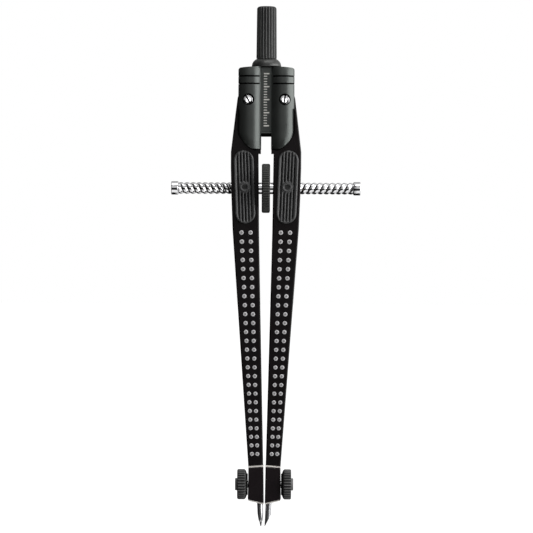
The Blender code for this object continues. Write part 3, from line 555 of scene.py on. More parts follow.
cover = {"halfWidth": 9.68, "top": 159.1, "crown": 80.0, "corner": 0.9, "stripHalf": 1.7,
         "stripBottom": 134.95, "stripDepth": 3.3, "stripFoot": ((136.5, 0), (136.12, 0.17), (135.0, 0.7)),
         "prongBottom": 130.6, "footX": 4.75, "curveTop": 136.2, "flatness": 1.55, "crest": 5.6,
         "edge": 3.7, "rim": 0.3, "rimSteps": (0.04, 0.09, 0.12, 0.13), "crownSteps": (7.4, 5.8, 4.2, 2.6),
         "columns": 22, "rowStart": 132.0, "rowPitch": 2.4, "rowCount": 9, "topRows": (154.2, 157.2),
         "pocket": ((3.2, -4.0, 133.0), (8.2, -2.0, 143.2)), "inside": 2.35, "wallBottom": 151.5,
         "cavityHalf": 8.3, "cavityTop": 157.4, "back": 0.05, "grooves": (155.68, 153.1),
         "grooveWidth": 0.52, "grooveDepth": 0.4, "grooveFloor": 0.65, "grooveStart": 2.35}
stem = {"bore": 1.6}
screw = {"head": 1.66, "top": 5.4, "seat": 4.5, "shank": 1.1, "end": 5.0, "slotWidth": 0.55,
         "slotDepth": 0.5, "turn": {"left": -59, "right": 82}, "recess": 2.02, "recessShift": (0.08, 0.12)}


def prongCurve(grow=0.0, steps=24):
    x, z, power = cover["footX"], cover["curveTop"], cover["flatness"]
    wide, high = cover["halfWidth"] - x + grow, z - cover["prongBottom"] + grow
    turns = [pi / 2 * i / steps for i in range(steps)]
    return [(x + wide * cos(a) ** power, z - high * sin(a) ** power) for a in turns] + [(x, z - high)]


def crown(x):
    return x, cover["top"] - x * x / (2 * cover["crown"])


def coverOutline():
    side, half = cover["halfWidth"], cover["grooveWidth"] / 2
    notch = side - cover["grooveDepth"]
    right = [(cover["stripHalf"], cover["prongBottom"])] + prongCurve()[::-1]
    for z in sorted(cover["grooves"]):
        right += [(side, z - half), (notch, z - half + 0.06), (notch, z + half - 0.06), (side, z + half)]
    x, top = crown(side - cover["corner"])
    right += arcPoints((x, top - cover["corner"]), cover["corner"], 0, 84, 8)
    right += [crown(x) for x in cover["crownSteps"]]
    strip = [(-cover["stripHalf"], cover["stripBottom"]), (cover["stripHalf"], cover["stripBottom"])]
    return right + [(0, cover["top"])] + onSide(-1, right[::-1]) + strip


def distanceTo(x, z, outline):
    least = 99
    for (ax, az), (bx, bz) in zip(outline, outline[1:] + outline[:1]):
        wide, high = bx - ax, bz - az
        part = max(0, min(1, ((x - ax) * wide + (z - az) * high) / (wide * wide + high * high)))
        least = min(least, hypot(x - ax - part * wide, z - az - part * high))
    return least


def coverFront(x, z):  # how far the front stands out, before its rim is rounded
    if abs(x) < cover["stripHalf"] + 0.03:
        (top, _), (bend, first), (low, last) = cover["stripFoot"]
        chamfer, slope = ((top - z) / (top - bend), (bend - z) / (bend - low))
        drop = first * max(0, min(1, chamfer)) + (last - first) * max(0, min(1, slope))
        return cover["stripDepth"] - drop
    half = (cover["halfWidth"] - cover["stripHalf"]) / 2
    rise = cover["crest"] - cover["edge"]
    radius = (half * half + rise * rise) / (2 * rise)
    across = min(half, abs(abs(x) - cover["stripHalf"] - half))
    depth = cover["crest"] - radius + (radius * radius - across * across) ** 0.5
    inGroove = any(abs(z - groove) < cover["grooveWidth"] / 2 - 0.02 for groove in cover["grooves"])
    return depth - cover["grooveFloor"] * (inGroove and abs(x) > cover["grooveStart"])


def coverShell(name, front):
    outline = coverOutline()
    shape = rimmedFace(outline, cover["rimSteps"])
    half = (cover["halfWidth"] - cover["stripHalf"]) / 2
    start, count, grooveHalf = cover["stripHalf"], cover["columns"], cover["grooveWidth"] / 2
    columns = [start + 0.02, start + 0.06, cover["grooveStart"] - 0.02, cover["grooveStart"] + 0.02]
    columns += [start + half - half * cos(pi * i / count) for i in range(1, count)]
    cutLines(shape, xAxis, [side * x for side in (-1, 1) for x in columns])
    rows = [z + side * (grooveHalf + more)
            for z in cover["grooves"] for side in (-1, 1) for more in (0, -0.04)]
    rows += [z + more for z, _ in cover["stripFoot"][:2] for more in (-0.05, 0.05)]
    rows += [cover["rowStart"] + cover["rowPitch"] * i for i in range(cover["rowCount"])]
    cutLines(shape, zAxis, rows + list(cover["topRows"]))
    for vert in shape.verts:
        x, z = vert.co.x, vert.co.z
        vert.co.y = -coverFront(x, z) + roundOver(distanceTo(x, z, outline), cover["rim"])
    closeBehind(shape, -cover["back"])
    shell = solid(shape, name, 0.002)

    wide, low, wall = cover["halfWidth"] + 3, cover["prongBottom"] - 5, cover["wallBottom"]
    half, ceiling = cover["cavityHalf"], cover["cavityTop"]
    room = [(wide, low), (wide, wall), (half, wall), (half, ceiling)]
    carve(shell, prism(room + onSide(-1, room[::-1]), -cover["inside"], 2))
    pockets, bores, seats = bmesh.new(), bmesh.new(), bmesh.new()
    (near, outside, bottom), (far, behind, top) = cover["pocket"]
    for side in sides.values():
        low, high = sorted((side * near, side * far))
        block((low, outside, bottom), (high, behind, top), pockets)
        rod(screw["shank"] + 0.1, (side * pivotX, -9, pivotZ), (side * pivotX, 0, pivotZ), 40, bores)
        if front:
            x, z = side * pivotX + screw["recessShift"][0], pivotZ + screw["recessShift"][1]
            rod(screw["recess"], (x, -9, z), (x, -screw["seat"] + 0.08, z), 48, seats)
    carve(shell, pockets)
    rod(stem["bore"], (0, 0, ceiling - 3), (0, 0, cover["top"] + 3), 48, bores)
    carve(shell, bores)
    if front:
        carve(shell, seats)
    else:
        shell.data.transform(Matrix.Rotation(pi, 4, "Z"))
    dress(shell, coverLacquer, ["head_front_cover" if front else "head_rear_cover"],
          sharp=38)

    def inShadow(spot, normal):
        inGroove = any(abs(spot.z - z) < cover["grooveWidth"] / 2 - 0.005 for z in cover["grooves"])
        underStrip = abs(spot.x) < cover["stripHalf"] - 0.01 and spot.z < cover["stripFoot"][1][0] - 0.04
        aside, up = screw["recessShift"]
        near = min(hypot(spot.x - side * pivotX - aside, spot.z - pivotZ - up) for side in sides.values())
        inRecess = front and near < screw["recess"] + 0.01 and -spot.y < coverFront(spot.x, spot.z) - 0.06
        return underStrip or inRecess or (inGroove and abs(spot.x) > cover["grooveStart"] - 0.03)

    shade(shell, shadowBlack, inShadow)


def pivotScrew(name, side):
    edge, top, shank = screw["head"], screw["top"], screw["shank"]
    profile = [(edge * part, top - 0.1 * part * part) for part in (0, 0.3, 0.55, 0.78)]
    profile += arcPoints((edge - 0.22, top - 0.34), 0.22, 80, 0, 5)
    profile += [(edge, screw["seat"]), (shank, screw["seat"])]
    profile += [(shank, -screw["end"] + 0.3), (shank - 0.3, -screw["end"]), (0, -screw["end"])]
    centre = (side * pivotX, 0, pivotZ)
    piece = solid(lathe(profile, 72, (0, -1, 0), centre), f"{name}PivotScrew")
    slot = block((-3, -top - 1, -screw["slotWidth"] / 2),
                 (3, -top + screw["slotDepth"], screw["slotWidth"] / 2))
    bmesh.ops.rotate(slot, verts=slot.verts, matrix=Matrix.Rotation(radians(-screw["turn"][name]), 3, "Y"))
    bmesh.ops.translate(slot, verts=slot.verts, vec=centre)
    carve(piece, slot)
    look = turnedMetal(f"{name}ScrewChrome", chromeTone, 0.14, (0, -1, 0), centre, depth=0.001)
    dress(piece, look, [f"{name}_pivot_screw"], sharp=40)
    shade(piece, shadowBlack, lambda spot, normal: top - screw["slotDepth"] - 0.05 < -spot.y < top - 0.13
          and hypot(spot.x - centre[0], spot.z - centre[2]) < edge - 0.1)


scale = {"low": 138.6, "high": 156.6, "step": 0.9, "every": 5, "short": (1.15, 0.3),
         "long": (1.9, 0.45), "left": -0.9, "rise": 0.05}


def stripScale():  # a plain silver scale of ticks on the middle strip
    shape = bmesh.new()
    count = round((scale["high"] - scale["low"]) / scale["step"])
    for i in range(count + 1):
        z = scale["low"] + i * scale["step"]
        size = "long" if i % scale["every"] == 0 else "short"
        wide, line = scale[size]
        left, face = scale["left"], -cover["stripDepth"]
        block((left, face - scale["rise"], z - line / 2), (left + wide, face + 0.1, z + line / 2), shape)
    edges = [e for e in shape.edges if all(v.co.y < -cover["stripDepth"] for v in e.verts)]
    roundEdges(shape, edges, 0.03, 1)
    dress(solid(shape, "stripScale"), tickSilver, body=bodyOf["head_front_cover"])


grip = {"bottom": 161.85, "top": 180.0, "lowRadius": 3.53, "topRadius": 3.38, "round": 0.95, "flutes": 20,
        "flute": 0.4, "stemTop": 172.08}
dome = {"bottom": 159.16, "radius": 5.07, "neck": 3.45, "gap": 0.08}


def handleGrip():
    def reach(angle, station):
        return station[1] - station[2] * valley(angle + 0.07, grip["flutes"], 2.6)

    centre = (grip["topRadius"] - grip["round"], grip["top"] - grip["round"])
    curve = arcPoints(centre, grip["round"], 0, 84, 9)
    stations = [(grip["stemTop"], stem["bore"], 0), (grip["bottom"] + 0.3, stem["bore"], 0),
                (grip["bottom"], stem["bore"] + 0.2, 0), (grip["bottom"], grip["lowRadius"] - 0.4, 0),
                (grip["bottom"] + 0.08, grip["lowRadius"] - 0.08, 0.15),
                (grip["bottom"] + 0.3, grip["lowRadius"], grip["flute"])]
    steps = 6
    low, high = grip["bottom"] + 0.3, grip["top"] - grip["round"]
    stations += [(low + (high - low) * i / steps,
                  grip["lowRadius"] + (grip["topRadius"] - grip["lowRadius"]) * i / steps, grip["flute"])
                 for i in range(1, steps)]
    stations += [(z, radius, grip["flute"] * (1 - i / 9) ** 0.5) for i, (radius, z) in enumerate(curve)]
    stations += [(grip["top"] - 0.002, 1.2, 0), (grip["top"], 0.4, 0)]
    piece = solid(ringLoft(stations, grip["flutes"] * 10, reach), "handleGrip")
    dress(piece, gripPlastic, ["handle_grip"], sharp=50)


def handleDome():
    rise = grip["bottom"] - dome["gap"] - dome["bottom"]
    swell = dome["radius"] - dome["neck"]
    curve = arcPoints((0, 0), 1, 68, 0, 20)
    low, high = curve[0]
    profile = [(stem["bore"], rise)]
    profile += [(dome["neck"] + swell * (a - low) / (1 - low), rise * (0.06 + 0.94 * b / high))
                for a, b in curve]
    profile += [(dome["radius"] - 0.1, 0), (stem["bore"], 0)]
    piece = solid(lathe(profile, 96, centre=(0, 0, dome["bottom"]), closed=True), "handleDome")
    dress(piece, domePlastic, ["handle_collar"])


leg = {"outer": ((5.6, 21.0), (11.42, 102.5), (11.9, 114.3), (12.15, 124.0), (12.15, 129.5),
                 (10.05, 147.4)),
       "inner": ((2.6, 129.1), (2.43, 114.3), (2.3, 102.5), (1.97, 87.0), (0.43, 21.45)),
       "knuckle": 3.7, "neckX": 1.8, "neckTop": 144.7, "neckDepth": 2.15, "endZ": 21.0, "endDepth": 2.6,
       "depthSlope": 0.0157, "edge": 0.5, "sweep": 17.75, "gap": 0.25, "reliefTop": 144.5,
       "socket": (1.85, 4.35, 1.3, 29.2), "pinZ": 25.2, "pin": 0.5, "padFloor": 3.6,
       "channelHalf": 2.5, "channelDepth": 2.9, "channelReach": 6.5, "opening": radians(40),
       "nut": 3.35, "journal": 1.22, "sleeve": 1.75}
gear = {"module": 0.9, "teeth": 14, "count": 3, "pressure": radians(20), "backlash": 0.2,
        "first": {"left": 0, "right": -0.5}}


def involute(radius, base):
    angle = acos(min(1, base / radius))
    return tan(angle) - angle


def gearPoints(name):  # from the highest tooth down; the mating gear lies at -x
    pitch = gear["module"] * gear["teeth"] / 2
    base = pitch * cos(gear["pressure"])
    root, tip = pitch - 1.25 * gear["module"], pitch + gear["module"]
    halfTooth = (pi * gear["module"] - gear["backlash"]) / 4 / pitch
    radii = [root] + [base + (tip - base) * i / 6 for i in range(7)]
    halves = [halfTooth + involute(pitch, base) - involute(max(r, base), base) for r in radii]
    points = []
    for tooth in reversed(range(gear["count"])):
        middle = (gear["first"][name] + tooth) * 2 * pi / gear["teeth"]
        flank = [(r, middle + half) for r, half in zip(radii, halves)]
        flank += [(r, 2 * middle - angle) for r, angle in reversed(flank)]
        points += [(pivotX - r * cos(angle), pivotZ + r * sin(angle)) for r, angle in flank]
    return points


def legOutline(name):
    topAngle = 180 - (gear["first"][name] + gear["count"] - 0.5) * 360 / gear["teeth"]
    knuckle = arcPoints((pivotX, pivotZ), leg["knuckle"], 0, topAngle, 10)
    neck = [(leg["neckX"], leg["neckTop"]), (leg["neckX"], leg["inner"][0][1])]
    return list(leg["outer"]) + knuckle[1:] + gearPoints(name) + neck + list(leg["inner"])


def depthAt(z):
    return leg["endDepth"] + (z - leg["endZ"]) * leg["depthSlope"]


def edgeAt(points, z):  # x of a leg's outer or inner side at a height
    points = sorted(points, key=lambda point: point[1])
    for (ax, az), (bx, bz) in zip(points, points[1:]):
        if az <= z <= bz:
            return ax + (bx - ax) * (z - az) / (bz - az)


def channelOutline():
    reach, half, opening = leg["channelReach"], leg["channelHalf"], leg["opening"]
    waist = half * (1 - cos(opening)) / sin(opening)
    far = half / cos(opening) + reach * tan(opening)
    points = [(reach, half), (waist, half), (-reach, far)]
    points += [(-x, -z) for x, z in points]
    return [(nutX + x, spindleZ + z) for x, z in points]


def padShape(width, steps):
    straight = (pad["length"] - pad["width"]) / 2
    upper = arcPoints((0, straight), width / 2, 0, 180, steps)
    return upper + arcPoints((0, -straight), width / 2, 180, 360, steps)


def padOutline(side, grow=0.0):
    lean = Matrix.Rotation(radians(-pad["lean"]), 2)
    leaned = [lean @ Vector(spot) for spot in padShape(pad["width"] + grow, 32)]
    return [(side * (pad["centre"][0] + p.x), pad["centre"][1] + p.y) for p in leaned]


def makeLeg(name, side):
    shape = prism(onSide(side, legOutline(name)), -1, 1)
    for vert in shape.verts:
        vert.co.y *= depthAt(vert.co.z)
    rims = [e for e in shape.edges if e.verts[0].co.y * e.verts[1].co.y > 0]
    edges = [e for e in rims if max(v.co.z for v in e.verts) < leg["reliefTop"] and e.calc_length() > 5]
    edges += [e for e in rims if min(abs(v.co.x) for v in e.verts) > pivotX and e not in edges]
    roundEdges(shape, edges, leg["edge"])
    piece = solid(shape, f"{name}Leg")

    foot = arcPoints((pivotX, pivotZ), leg["sweep"], -97.5, -115, 12)
    outer = cover["halfWidth"] + leg["gap"]
    swept = [(14, leg["reliefTop"]), (outer, leg["reliefTop"])] + prongCurve(leg["gap"]) + foot
    swept += [(-4, 135), (-4, 165), (14, 165)]
    relief, recess = bmesh.new(), bmesh.new()
    for face in (-1, 1):
        prism(onSide(side, swept), face * leg["neckDepth"], face * 9, shape=relief)
        prism(padOutline(side, 0.2), face * leg["padFloor"], face * 9, shape=recess)
    carve(piece, relief)
    carve(piece, recess)
    carve(piece, prism(onSide(side, channelOutline()), -leg["channelDepth"], leg["channelDepth"]))
    x, depth = side * nutX, leg["channelDepth"]
    carve(piece, rod(leg["nut"], (x, -depth, spindleZ), (x, depth, spindleZ), 64))
    holes = rod(leg["journal"], (x, -9, spindleZ), (x, 9, spindleZ))
    rod(leg["sleeve"], (side * pivotX, -9, pivotZ), (side * pivotX, 9, pivotZ), shape=holes)
    carve(piece, holes)
    inner, outer, depth, top = leg["socket"]
    low, high = sorted((side * inner, side * outer))
    carve(piece, block((low, -depth, leg["endZ"] - 5), (high, depth, top)))
    carve(piece, rod(leg["pin"] + 0.06, (0, 0, leg["pinZ"]), (side * 5.1, 0, leg["pinZ"]), 24))
    dress(piece, legLacquer, [f"{name}_leg"], weighted=True)


dots = {"rows": 26, "top": 101.7, "topPitch": 3.165, "bottomPitch": 2.945, "topSize": 1.55,
        "bottomSize": 1.38, "topColumns": (0.33, 0.675), "bottomColumns": (0.285, 0.636), "rise": 0.09,
        "sunk": 0.05, "level": 0.9988}


def gripDots(name, side):
    shape = bmesh.new()
    z, rows = dots["top"], dots["rows"]
    for row in range(rows):
        part = row / (rows - 1)
        radius = (dots["topSize"] + (dots["bottomSize"] - dots["topSize"]) * part) / 2
        outer, inner = edgeAt(leg["outer"], z), edgeAt(leg["inner"], z)
        for top, bottom in zip(dots["topColumns"], dots["bottomColumns"]):
            x = side * (outer + (inner - outer) * (top + (bottom - top) * part))
            for face in (-1, 1):
                bead(shape, x, z, radius, face)
        z -= dots["topPitch"] + (dots["bottomPitch"] - dots["topPitch"]) * part
    studs = dress(solid(shape, f"{name}GripDots"), dotSilver, body=f"{name}_leg", sharp=60)
    # painted shade on each dot's flat centre
    shade(studs, dotCentrePaintedShade, lambda spot, normal: abs(normal.y) > dots["level"]
          and abs(spot.y) > depthAt(spot.z) + 0.02)


def bead(shape, x, z, radius, face):  # a low round stud with a shallow dish
    rings = ((radius, -dots["sunk"]), (radius, 0.03), (radius * 0.9, dots["rise"]),
             (radius * 0.52, dots["rise"] * 0.7))
    made = bmesh.ops.create_circle(shape, segments=14, radius=1)["verts"]
    edges = list({e for v in made for e in v.link_edges})
    first = edges
    for step, (reach, rise) in enumerate(rings):
        if step:
            edges, made = extrude(shape, edges)
        for vert in made:
            angle = atan2(vert.co.y, vert.co.x) if not step else atan2(vert.co.z - z, vert.co.x - x)
            high = z + reach * sin(angle)
            vert.co = (x + reach * cos(angle), face * (depthAt(high) + rise), high)
    bmesh.ops.contextual_create(shape, geom=first)
    bmesh.ops.contextual_create(shape, geom=edges)


pad = {"width": 7.1, "length": 25.3, "lean": 2.2, "centre": (7.4, 117.45), "back": 3.68, "face": 4.8,
       "edge": 0.55, "rim": (0.5, 0.85), "rimSteps": (0.05, 0.1, 0.15, 0.15, 0.15, 0.2), "rowStep": 0.55,
       "ridges": 5, "pitch": 1.1, "groove": 0.62, "saddle": 0.2, "saddleReach": 4.5,
       "boss": 1.65, "bossTop": 5.0, "bossShift": {"left": (0, 0.3), "right": (-0.15, 0.3)},
       "dimple": 1.0, "dimpleDepth": 0.38, "calm": (1.75, 2.4)}


def padFace(across, along):
    half = pad["width"] / 2
    edge = half - hypot(across, max(0, abs(along) - (pad["length"] / 2 - half)))
    field = smoothStep(edge, *pad["rim"])
    ridged = abs(across) < pad["ridges"] * pad["pitch"] / 2
    ridge = 1 - (0.5 + 0.5 * cos(2 * pi * across / pad["pitch"])) ** 2 if ridged else 1
    fromBoss = hypot(across, along + pad["centre"][1] - spindleZ - 0.3)
    ribbed = field * (1 - ridge) * smoothStep(fromBoss, *pad["calm"])
    sag = pad["saddle"] * exp(-(along / pad["saddleReach"]) ** 2) * (1 - (across / half) ** 2)
    lowered = field * 0.12 + pad["groove"] * ribbed + sag + roundOver(edge, pad["edge"])
    return pad["face"] - lowered


def gripPad(name, side, front):
    face = -1 if front else 1
    shape = rimmedFace(padShape(pad["width"], 40), pad["rimSteps"])
    column, row = pad["pitch"] / 8, pad["rowStep"]
    cutLines(shape, xAxis, [column * i for i in range(-24, 25)])
    cutLines(shape, zAxis, [row * i for i in range(-22, 23)] + [row * (i + 0.5) for i in range(-7, 6)])
    for vert in shape.verts:
        vert.co.y = padFace(vert.co.x, vert.co.z)
    closeBehind(shape, pad["back"])
    bmesh.ops.rotate(shape, verts=shape.verts, matrix=Matrix.Rotation(radians(pad["lean"]), 3, "Y"))
    bmesh.ops.translate(shape, verts=shape.verts, vec=(pad["centre"][0], 0, pad["centre"][1]))
    bmesh.ops.scale(shape, verts=shape.verts, vec=(side, face, 1))
    piece = solid(shape, f"{name}{'Front' if front else 'Rear'}Pad")

    boss, top, dimple = pad["boss"], pad["bossTop"], pad["dimple"]
    profile = [(0, pad["back"] + 0.3), (boss, pad["back"] + 0.3), (boss, top - 0.25)]
    profile += arcPoints((boss - 0.25, top - 0.25), 0.25, 15, 90, 5)
    profile += [(dimple + 0.15, top - 0.02), (dimple, top - 0.12), (dimple - 0.2, top - pad["dimpleDepth"]),
                (0, top - pad["dimpleDepth"] - 0.05)]
    x, (aside, up) = side * nutX, pad["bossShift"][name]
    carve(piece, lathe(profile, 48, (0, face, 0), (x + aside, 0, spindleZ + up)), "UNION")
    seat = cadBox(f"{name}_spindle_nut")[1].y + 0.08
    carve(piece, rod(leg["journal"], (x, 0, spindleZ), (x, face * seat, spindleZ), 40))
    node = f"{name}_{'front' if front else 'rear'}_pad"
    dress(piece, padRubber, [node], sharp=45)
    # painted shade in the boss's dimple
    shade(piece, dimplePaintedShade, lambda spot, normal: abs(spot.y) < top - 0.2 and abs(normal.y) > 0.6
          and hypot(spot.x - x - aside, spot.z - spindleZ - up) < dimple - 0.15)


thread = {"crest": 2.0, "root": 1.5, "lead": 4.2, "start": 2.9, "end": 30.1, "half": 32.75, "journal": 1.0,
          "turnSteps": 24, "around": 40}
wheel = {"radius": 8.5, "halfWidth": 1.43, "ribs": 60, "rib": 0.28, "web": 0.45}
stopCollar = {"radius": 2.3, "start": 30.15}


def makeSpindle():
    count = round((thread["end"] - thread["start"]) / thread["lead"] * thread["turnSteps"])
    span = thread["end"] - thread["start"]
    outer = [(thread["half"] - 0.5, 0), (thread["end"] + 0.02, 0)]
    turns = [(thread["end"] - span * i / count, 1) for i in range(count + 1)]
    plain = [(thread["start"] - 0.25, 2)]
    half = outer + turns + plain
    stations = [(-x, kind) for x, kind in half] + [(x, kind) for x, kind in reversed(half)]

    def reach(angle, station):
        x, kind = station
        if kind == 0:
            return thread["journal"]
        if kind == 2:
            return thread["crest"]
        bulge = abs(cos(angle + 2 * pi * abs(x) / thread["lead"]))
        runOut = smoothStep(abs(x), thread["start"], thread["start"] + 0.8)
        return thread["crest"] - (thread["crest"] - thread["root"]) * (1 - bulge) ** 1.25 * runOut

    shape = ringLoft(stations, thread["around"], reach, (1, 0, 0), (0, 0, spindleZ))
    dress(solid(shape, "spindleThread"), spindleChrome, ["spindle"], sharp=60)


def makeWheel():
    def reach(angle, station):
        return station[1] - station[2] * valley(angle, wheel["ribs"], 1.2)

    flat, rim, web = wheel["halfWidth"], wheel["radius"], wheel["web"]
    side = [(flat, thread["crest"] + 0.08, 0), (flat, 3.2, 0), (flat - 0.1, 3.35, 0),
            (flat - web, 3.6, 0), (flat - web, 6.3, 0), (flat - 0.1, 6.7, 0), (flat, 6.85, 0),
            (flat, rim - 0.6, 0), (flat - 0.05, rim - 0.38, 0.05), (flat - 0.16, rim - 0.16, 0.2),
            (flat - 0.4, rim, wheel["rib"]), (flat / 2, rim, wheel["rib"])]
    stations = side + [(0, rim, wheel["rib"])] + [(-x, radius, rib) for x, radius, rib in reversed(side)]
    shape = ringLoft(stations, wheel["ribs"] * 6, reach, (1, 0, 0), (0, 0, spindleZ), closed=True)
    dress(solid(shape, "settingWheel"), wheelPlastic, ["spindle_wheel"], sharp=50)


def makeStopCollar(name, side):
    length, edge = thread["half"] - stopCollar["start"], stopCollar["radius"]
    bore = thread["journal"] + 0.08
    profile = [(0, length), (edge - 0.45, length), (edge - 0.4, length - 0.06)]
    profile += arcPoints((edge - 0.22, length - 0.22), 0.22, 90, 0, 5)
    profile += [(edge, 0.4), (edge - 0.12, 0.2), (edge - 0.5, 0), (bore, 0), (bore, length - 0.4),
                (0, length - 0.4)]
    centre = (side * stopCollar["start"], 0, spindleZ)
    piece = solid(lathe(profile, 72, (side, 0, 0), centre), f"{name}StopCollar")
    dress(piece, spindleChrome, [f"{name}_stop_collar"], sharp=40)


chuck = {"outline": ((0.35, 20.75), (5.58, 20.4), (5.72, 9.45), (0.17, 8.25)), "waist": 0.04,
         "halfDepth": 2.6, "edge": 0.4, "coreDepth": 1.82, "coreOut": 4.77, "clamp": 1.4}
knob = {"start": 5.82, "radius": 5.25, "ribs": 32, "rib": 0.5, "hub": 2.12, "bore": 1.28, "boreEnd": 8.98,
        "longer": {"left": 0.15, "right": 0}, "innerFace": 6.34}
washer = {"start": 5.76, "end": 6.1, "radius": 3.75, "teeth": 11, "tooth": 0.5}
point = {"tilt": radians(2.55), "x": 1.5, "z": 8.5, "radius": 1.0, "top": 20.0, "slant": (4.2, 0, 8.2)}


def chuckSleeve(name, side):
    (topIn, zIn), (topOut, zOut), (lowOut, footOut), (lowIn, footIn) = chuck["outline"]
    steps = 8
    waisted = [(topOut + (lowOut - topOut) * i / steps - chuck["waist"] * sin(pi * i / steps),
                zOut + (footOut - zOut) * i / steps) for i in range(steps + 1)]
    outline = [(topIn, zIn)] + waisted + [(lowIn, footIn)]
    shape = prism(onSide(side, outline), -chuck["halfDepth"], chuck["halfDepth"])
    long = [e for e in shape.edges if e.calc_length() > 1.2]
    upright = [e for e in long if e.verts[0].co.y * e.verts[1].co.y > 0
               or min(abs(abs(v.co.x) - corner) for v in e.verts
                      for corner in (topIn, topOut, lowOut, lowIn)) < 0.01]
    roundEdges(shape, upright, chuck["edge"])
    piece = solid(shape, f"{name}ChuckSleeve")
    low, high = sorted((side * -2, side * (chuck["coreOut"] + 0.08)))
    depth = chuck["coreDepth"] + 0.08
    carve(piece, block((low, -depth, 5), (high, depth, 25)))
    carve(piece, rod(chuck["clamp"], (side * 2.2, 0, knobZ), (side * 9, 0, knobZ), 40))
    dress(piece, chuckPlastic, [f"{name}_chuck_sleeve"], weighted=True)


def clampKnob(name, side):
    def reach(angle, station):
        return station[1] - station[2] * (1 - (0.5 + 0.5 * cos(knob["ribs"] * angle)) ** 1.4)

    rim, hub, rib = knob["radius"], knob["hub"], knob["rib"]
    stations = [(knob["boreEnd"], knob["bore"], 0), (5.9, knob["bore"], 0),
                (knob["start"], knob["bore"] + 0.1, 0), (knob["start"], 3.1, 0),
                (5.88, 3.2, 0), (6.0, 3.6, 0), (6.35, rim - 0.62, 0.12), (6.6, rim - 0.3, rib * 0.7),
                (6.85, rim - 0.04, rib), (7.1, rim, rib), (8.9, rim, rib), (9.12, rim - 0.12, rib * 0.8),
                (9.25, rim - 0.4, rib * 0.3), (9.27, rim - 0.8, 0), (9.22, rim - 1.3, 0),
                (9.15, hub + 0.5, 0), (9.2, hub + 0.1, 0), (9.3, hub, 0), (9.87, hub, 0),
                (9.97, hub - 0.1, 0), (10.0, hub - 0.3, 0), (9.95, 0.5, 0)]
    longer = knob["longer"][name]
    stations = [(x + longer * (x > knob["boreEnd"]), radius, depth) for x, radius, depth in stations]
    piece = solid(ringLoft(stations, knob["ribs"] * 8, reach, (side, 0, 0), (0, 0, knobZ)),
                  f"{name}ClampKnob")
    dress(piece, knobPlastic, [f"{name}_clamp_knob"], sharp=50)
    shade(piece, shadowBlack,
          lambda spot, normal: abs(spot.x) < knob["innerFace"] and normal.x * side < -0.2)


def knobWasher(name, side):  # toothed plated washer pressed on the knob's inner face
    def reach(angle, station):
        return station[1] - station[2] * valley(angle, washer["teeth"], 2.5)

    inner, edge, tooth = 3.3, washer["radius"], washer["tooth"]
    stations = [(washer["start"], inner, 0), (washer["start"], edge - 0.1, tooth),
                (washer["start"] + 0.06, edge, tooth), (washer["end"] - 0.1, edge, tooth),
                (washer["end"], edge - 0.1, tooth), (washer["end"], inner, 0)]
    shape = ringLoft(stations, washer["teeth"] * 12, reach, (side, 0, 0), (0, 0, knobZ), closed=True)
    dress(solid(shape, f"{name}KnobWasher"), washerSteel, body=f"{name}_knob", sharp=40)


def pointAxis(side):
    tip = Vector((side * (point["x"] - point["z"] * tan(point["tilt"])), 0, 0))
    up = Vector((side * tan(point["tilt"]), 0, 1))
    return tip, up.normalized(), point["top"] / cos(point["tilt"])


def makeNeedle():
    tip, up, length = pointAxis(-1)
    radius = point["radius"]
    profile = [(0, length), (radius - 0.15, length), (radius, length - 0.15), (radius, 4.6), (0.985, 4.45),
               (0.94, 3.95), (0.86, 3.2), (0.74, 2.4), (0.62, 1.95), (0.47, 1.75), (0.42, 1.55),
               (0.31, 0.75), (0.14, 0.05), (0, 0)]
    dress(solid(lathe(profile, 40, up, tip), "needlePoint"), groundSteel, ["needle"], sharp=40)


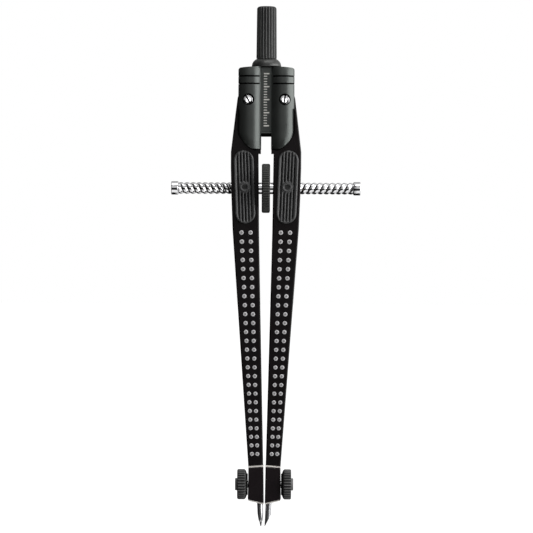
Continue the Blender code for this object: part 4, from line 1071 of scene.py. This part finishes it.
def makeLead():
    tip, up, length = pointAxis(1)
    radius = point["radius"]
    profile = [(0, length), (radius - 0.1, length), (radius, length - 0.1)]
    profile += [(radius, 8 - 0.5 * i) for i in range(17)] + [(0, 0)]
    shape = lathe(profile, 40, up, tip)
    bmesh.ops.remove_doubles(shape, verts=shape.verts, dist=0.001)
    across = Vector(point["slant"])  # runs up the ground face
    made = bmesh.ops.bisect_plane(shape, geom=shape.verts[:] + shape.edges[:] + shape.faces[:], dist=1e-5,
                                  clear_outer=True, plane_co=(tip.x - 0.9, 0, 0),
                                  plane_no=(across.z, 0, -across.x))
    bmesh.ops.edgeloop_fill(shape, edges=onlyKind(made["geom_cut"], bmesh.types.BMEdge))
    dress(solid(shape, "leadPoint"), graphite, ["lead"], sharp=30)


for front in (True, False):
    coverShell("headFrontCover" if front else "headRearCover", front)
stripScale()
handleGrip()
handleDome()
print("head and handle built")
makeSpindle()
makeWheel()
for name, side in sides.items():
    pivotScrew(name, side)
    makeLeg(name, side)
    gripDots(name, side)
    gripPad(name, side, True)
    gripPad(name, side, False)
    makeStopCollar(name, side)
    chuckSleeve(name, side)
    clampKnob(name, side)
    knobWasher(name, side)
    print(name, "leg built")
makeNeedle()
makeLead()

keptSteel = turnedMetal("stemSteel", steelTone, 0.3, (0, 0, 1), (0, 0, 0))
plainFinish("head_bridge", nickelPlate)
plainFinish("handle_stem", keptSteel)
for name, side in sides.items():
    brassAt = {"pivot_sleeve": (side * pivotX, 0, pivotZ), "spindle_nut": (side * nutX, 0, spindleZ)}
    for node, centre in brassAt.items():
        plainFinish(f"{name}_{node}",
                    turnedMetal(f"{name}_{node}Brass", brassTone, 0.25, (0, 1, 0), centre))
    crossBrass = turnedMetal(f"{name}SlugBrass", brassTone, 0.25, (1, 0, 0), (0, 0, knobZ))
    crossSteel = turnedMetal(f"{name}ClampSteel", steelTone, 0.25, (1, 0, 0), (0, 0, knobZ))
    plainFinish(f"{name}_clamp_slug", crossBrass)
    plainFinish(f"{name}_clamp_screw", crossSteel)
    plainFinish(f"{name}_chuck_pin", crossSteel)
    plainFinish(f"{name}_chuck", nickelPlate)
print("finishes on the inner parts")

bright = [item for item in bpy.data.objects if item.name.endswith(("PivotScrew", "_chuck"))]
makeLight("frontCard", 0.8, (0.3, 0.3), (0.02, -1.3, 0.16), target=(0, 0, 0.13), only=bright)
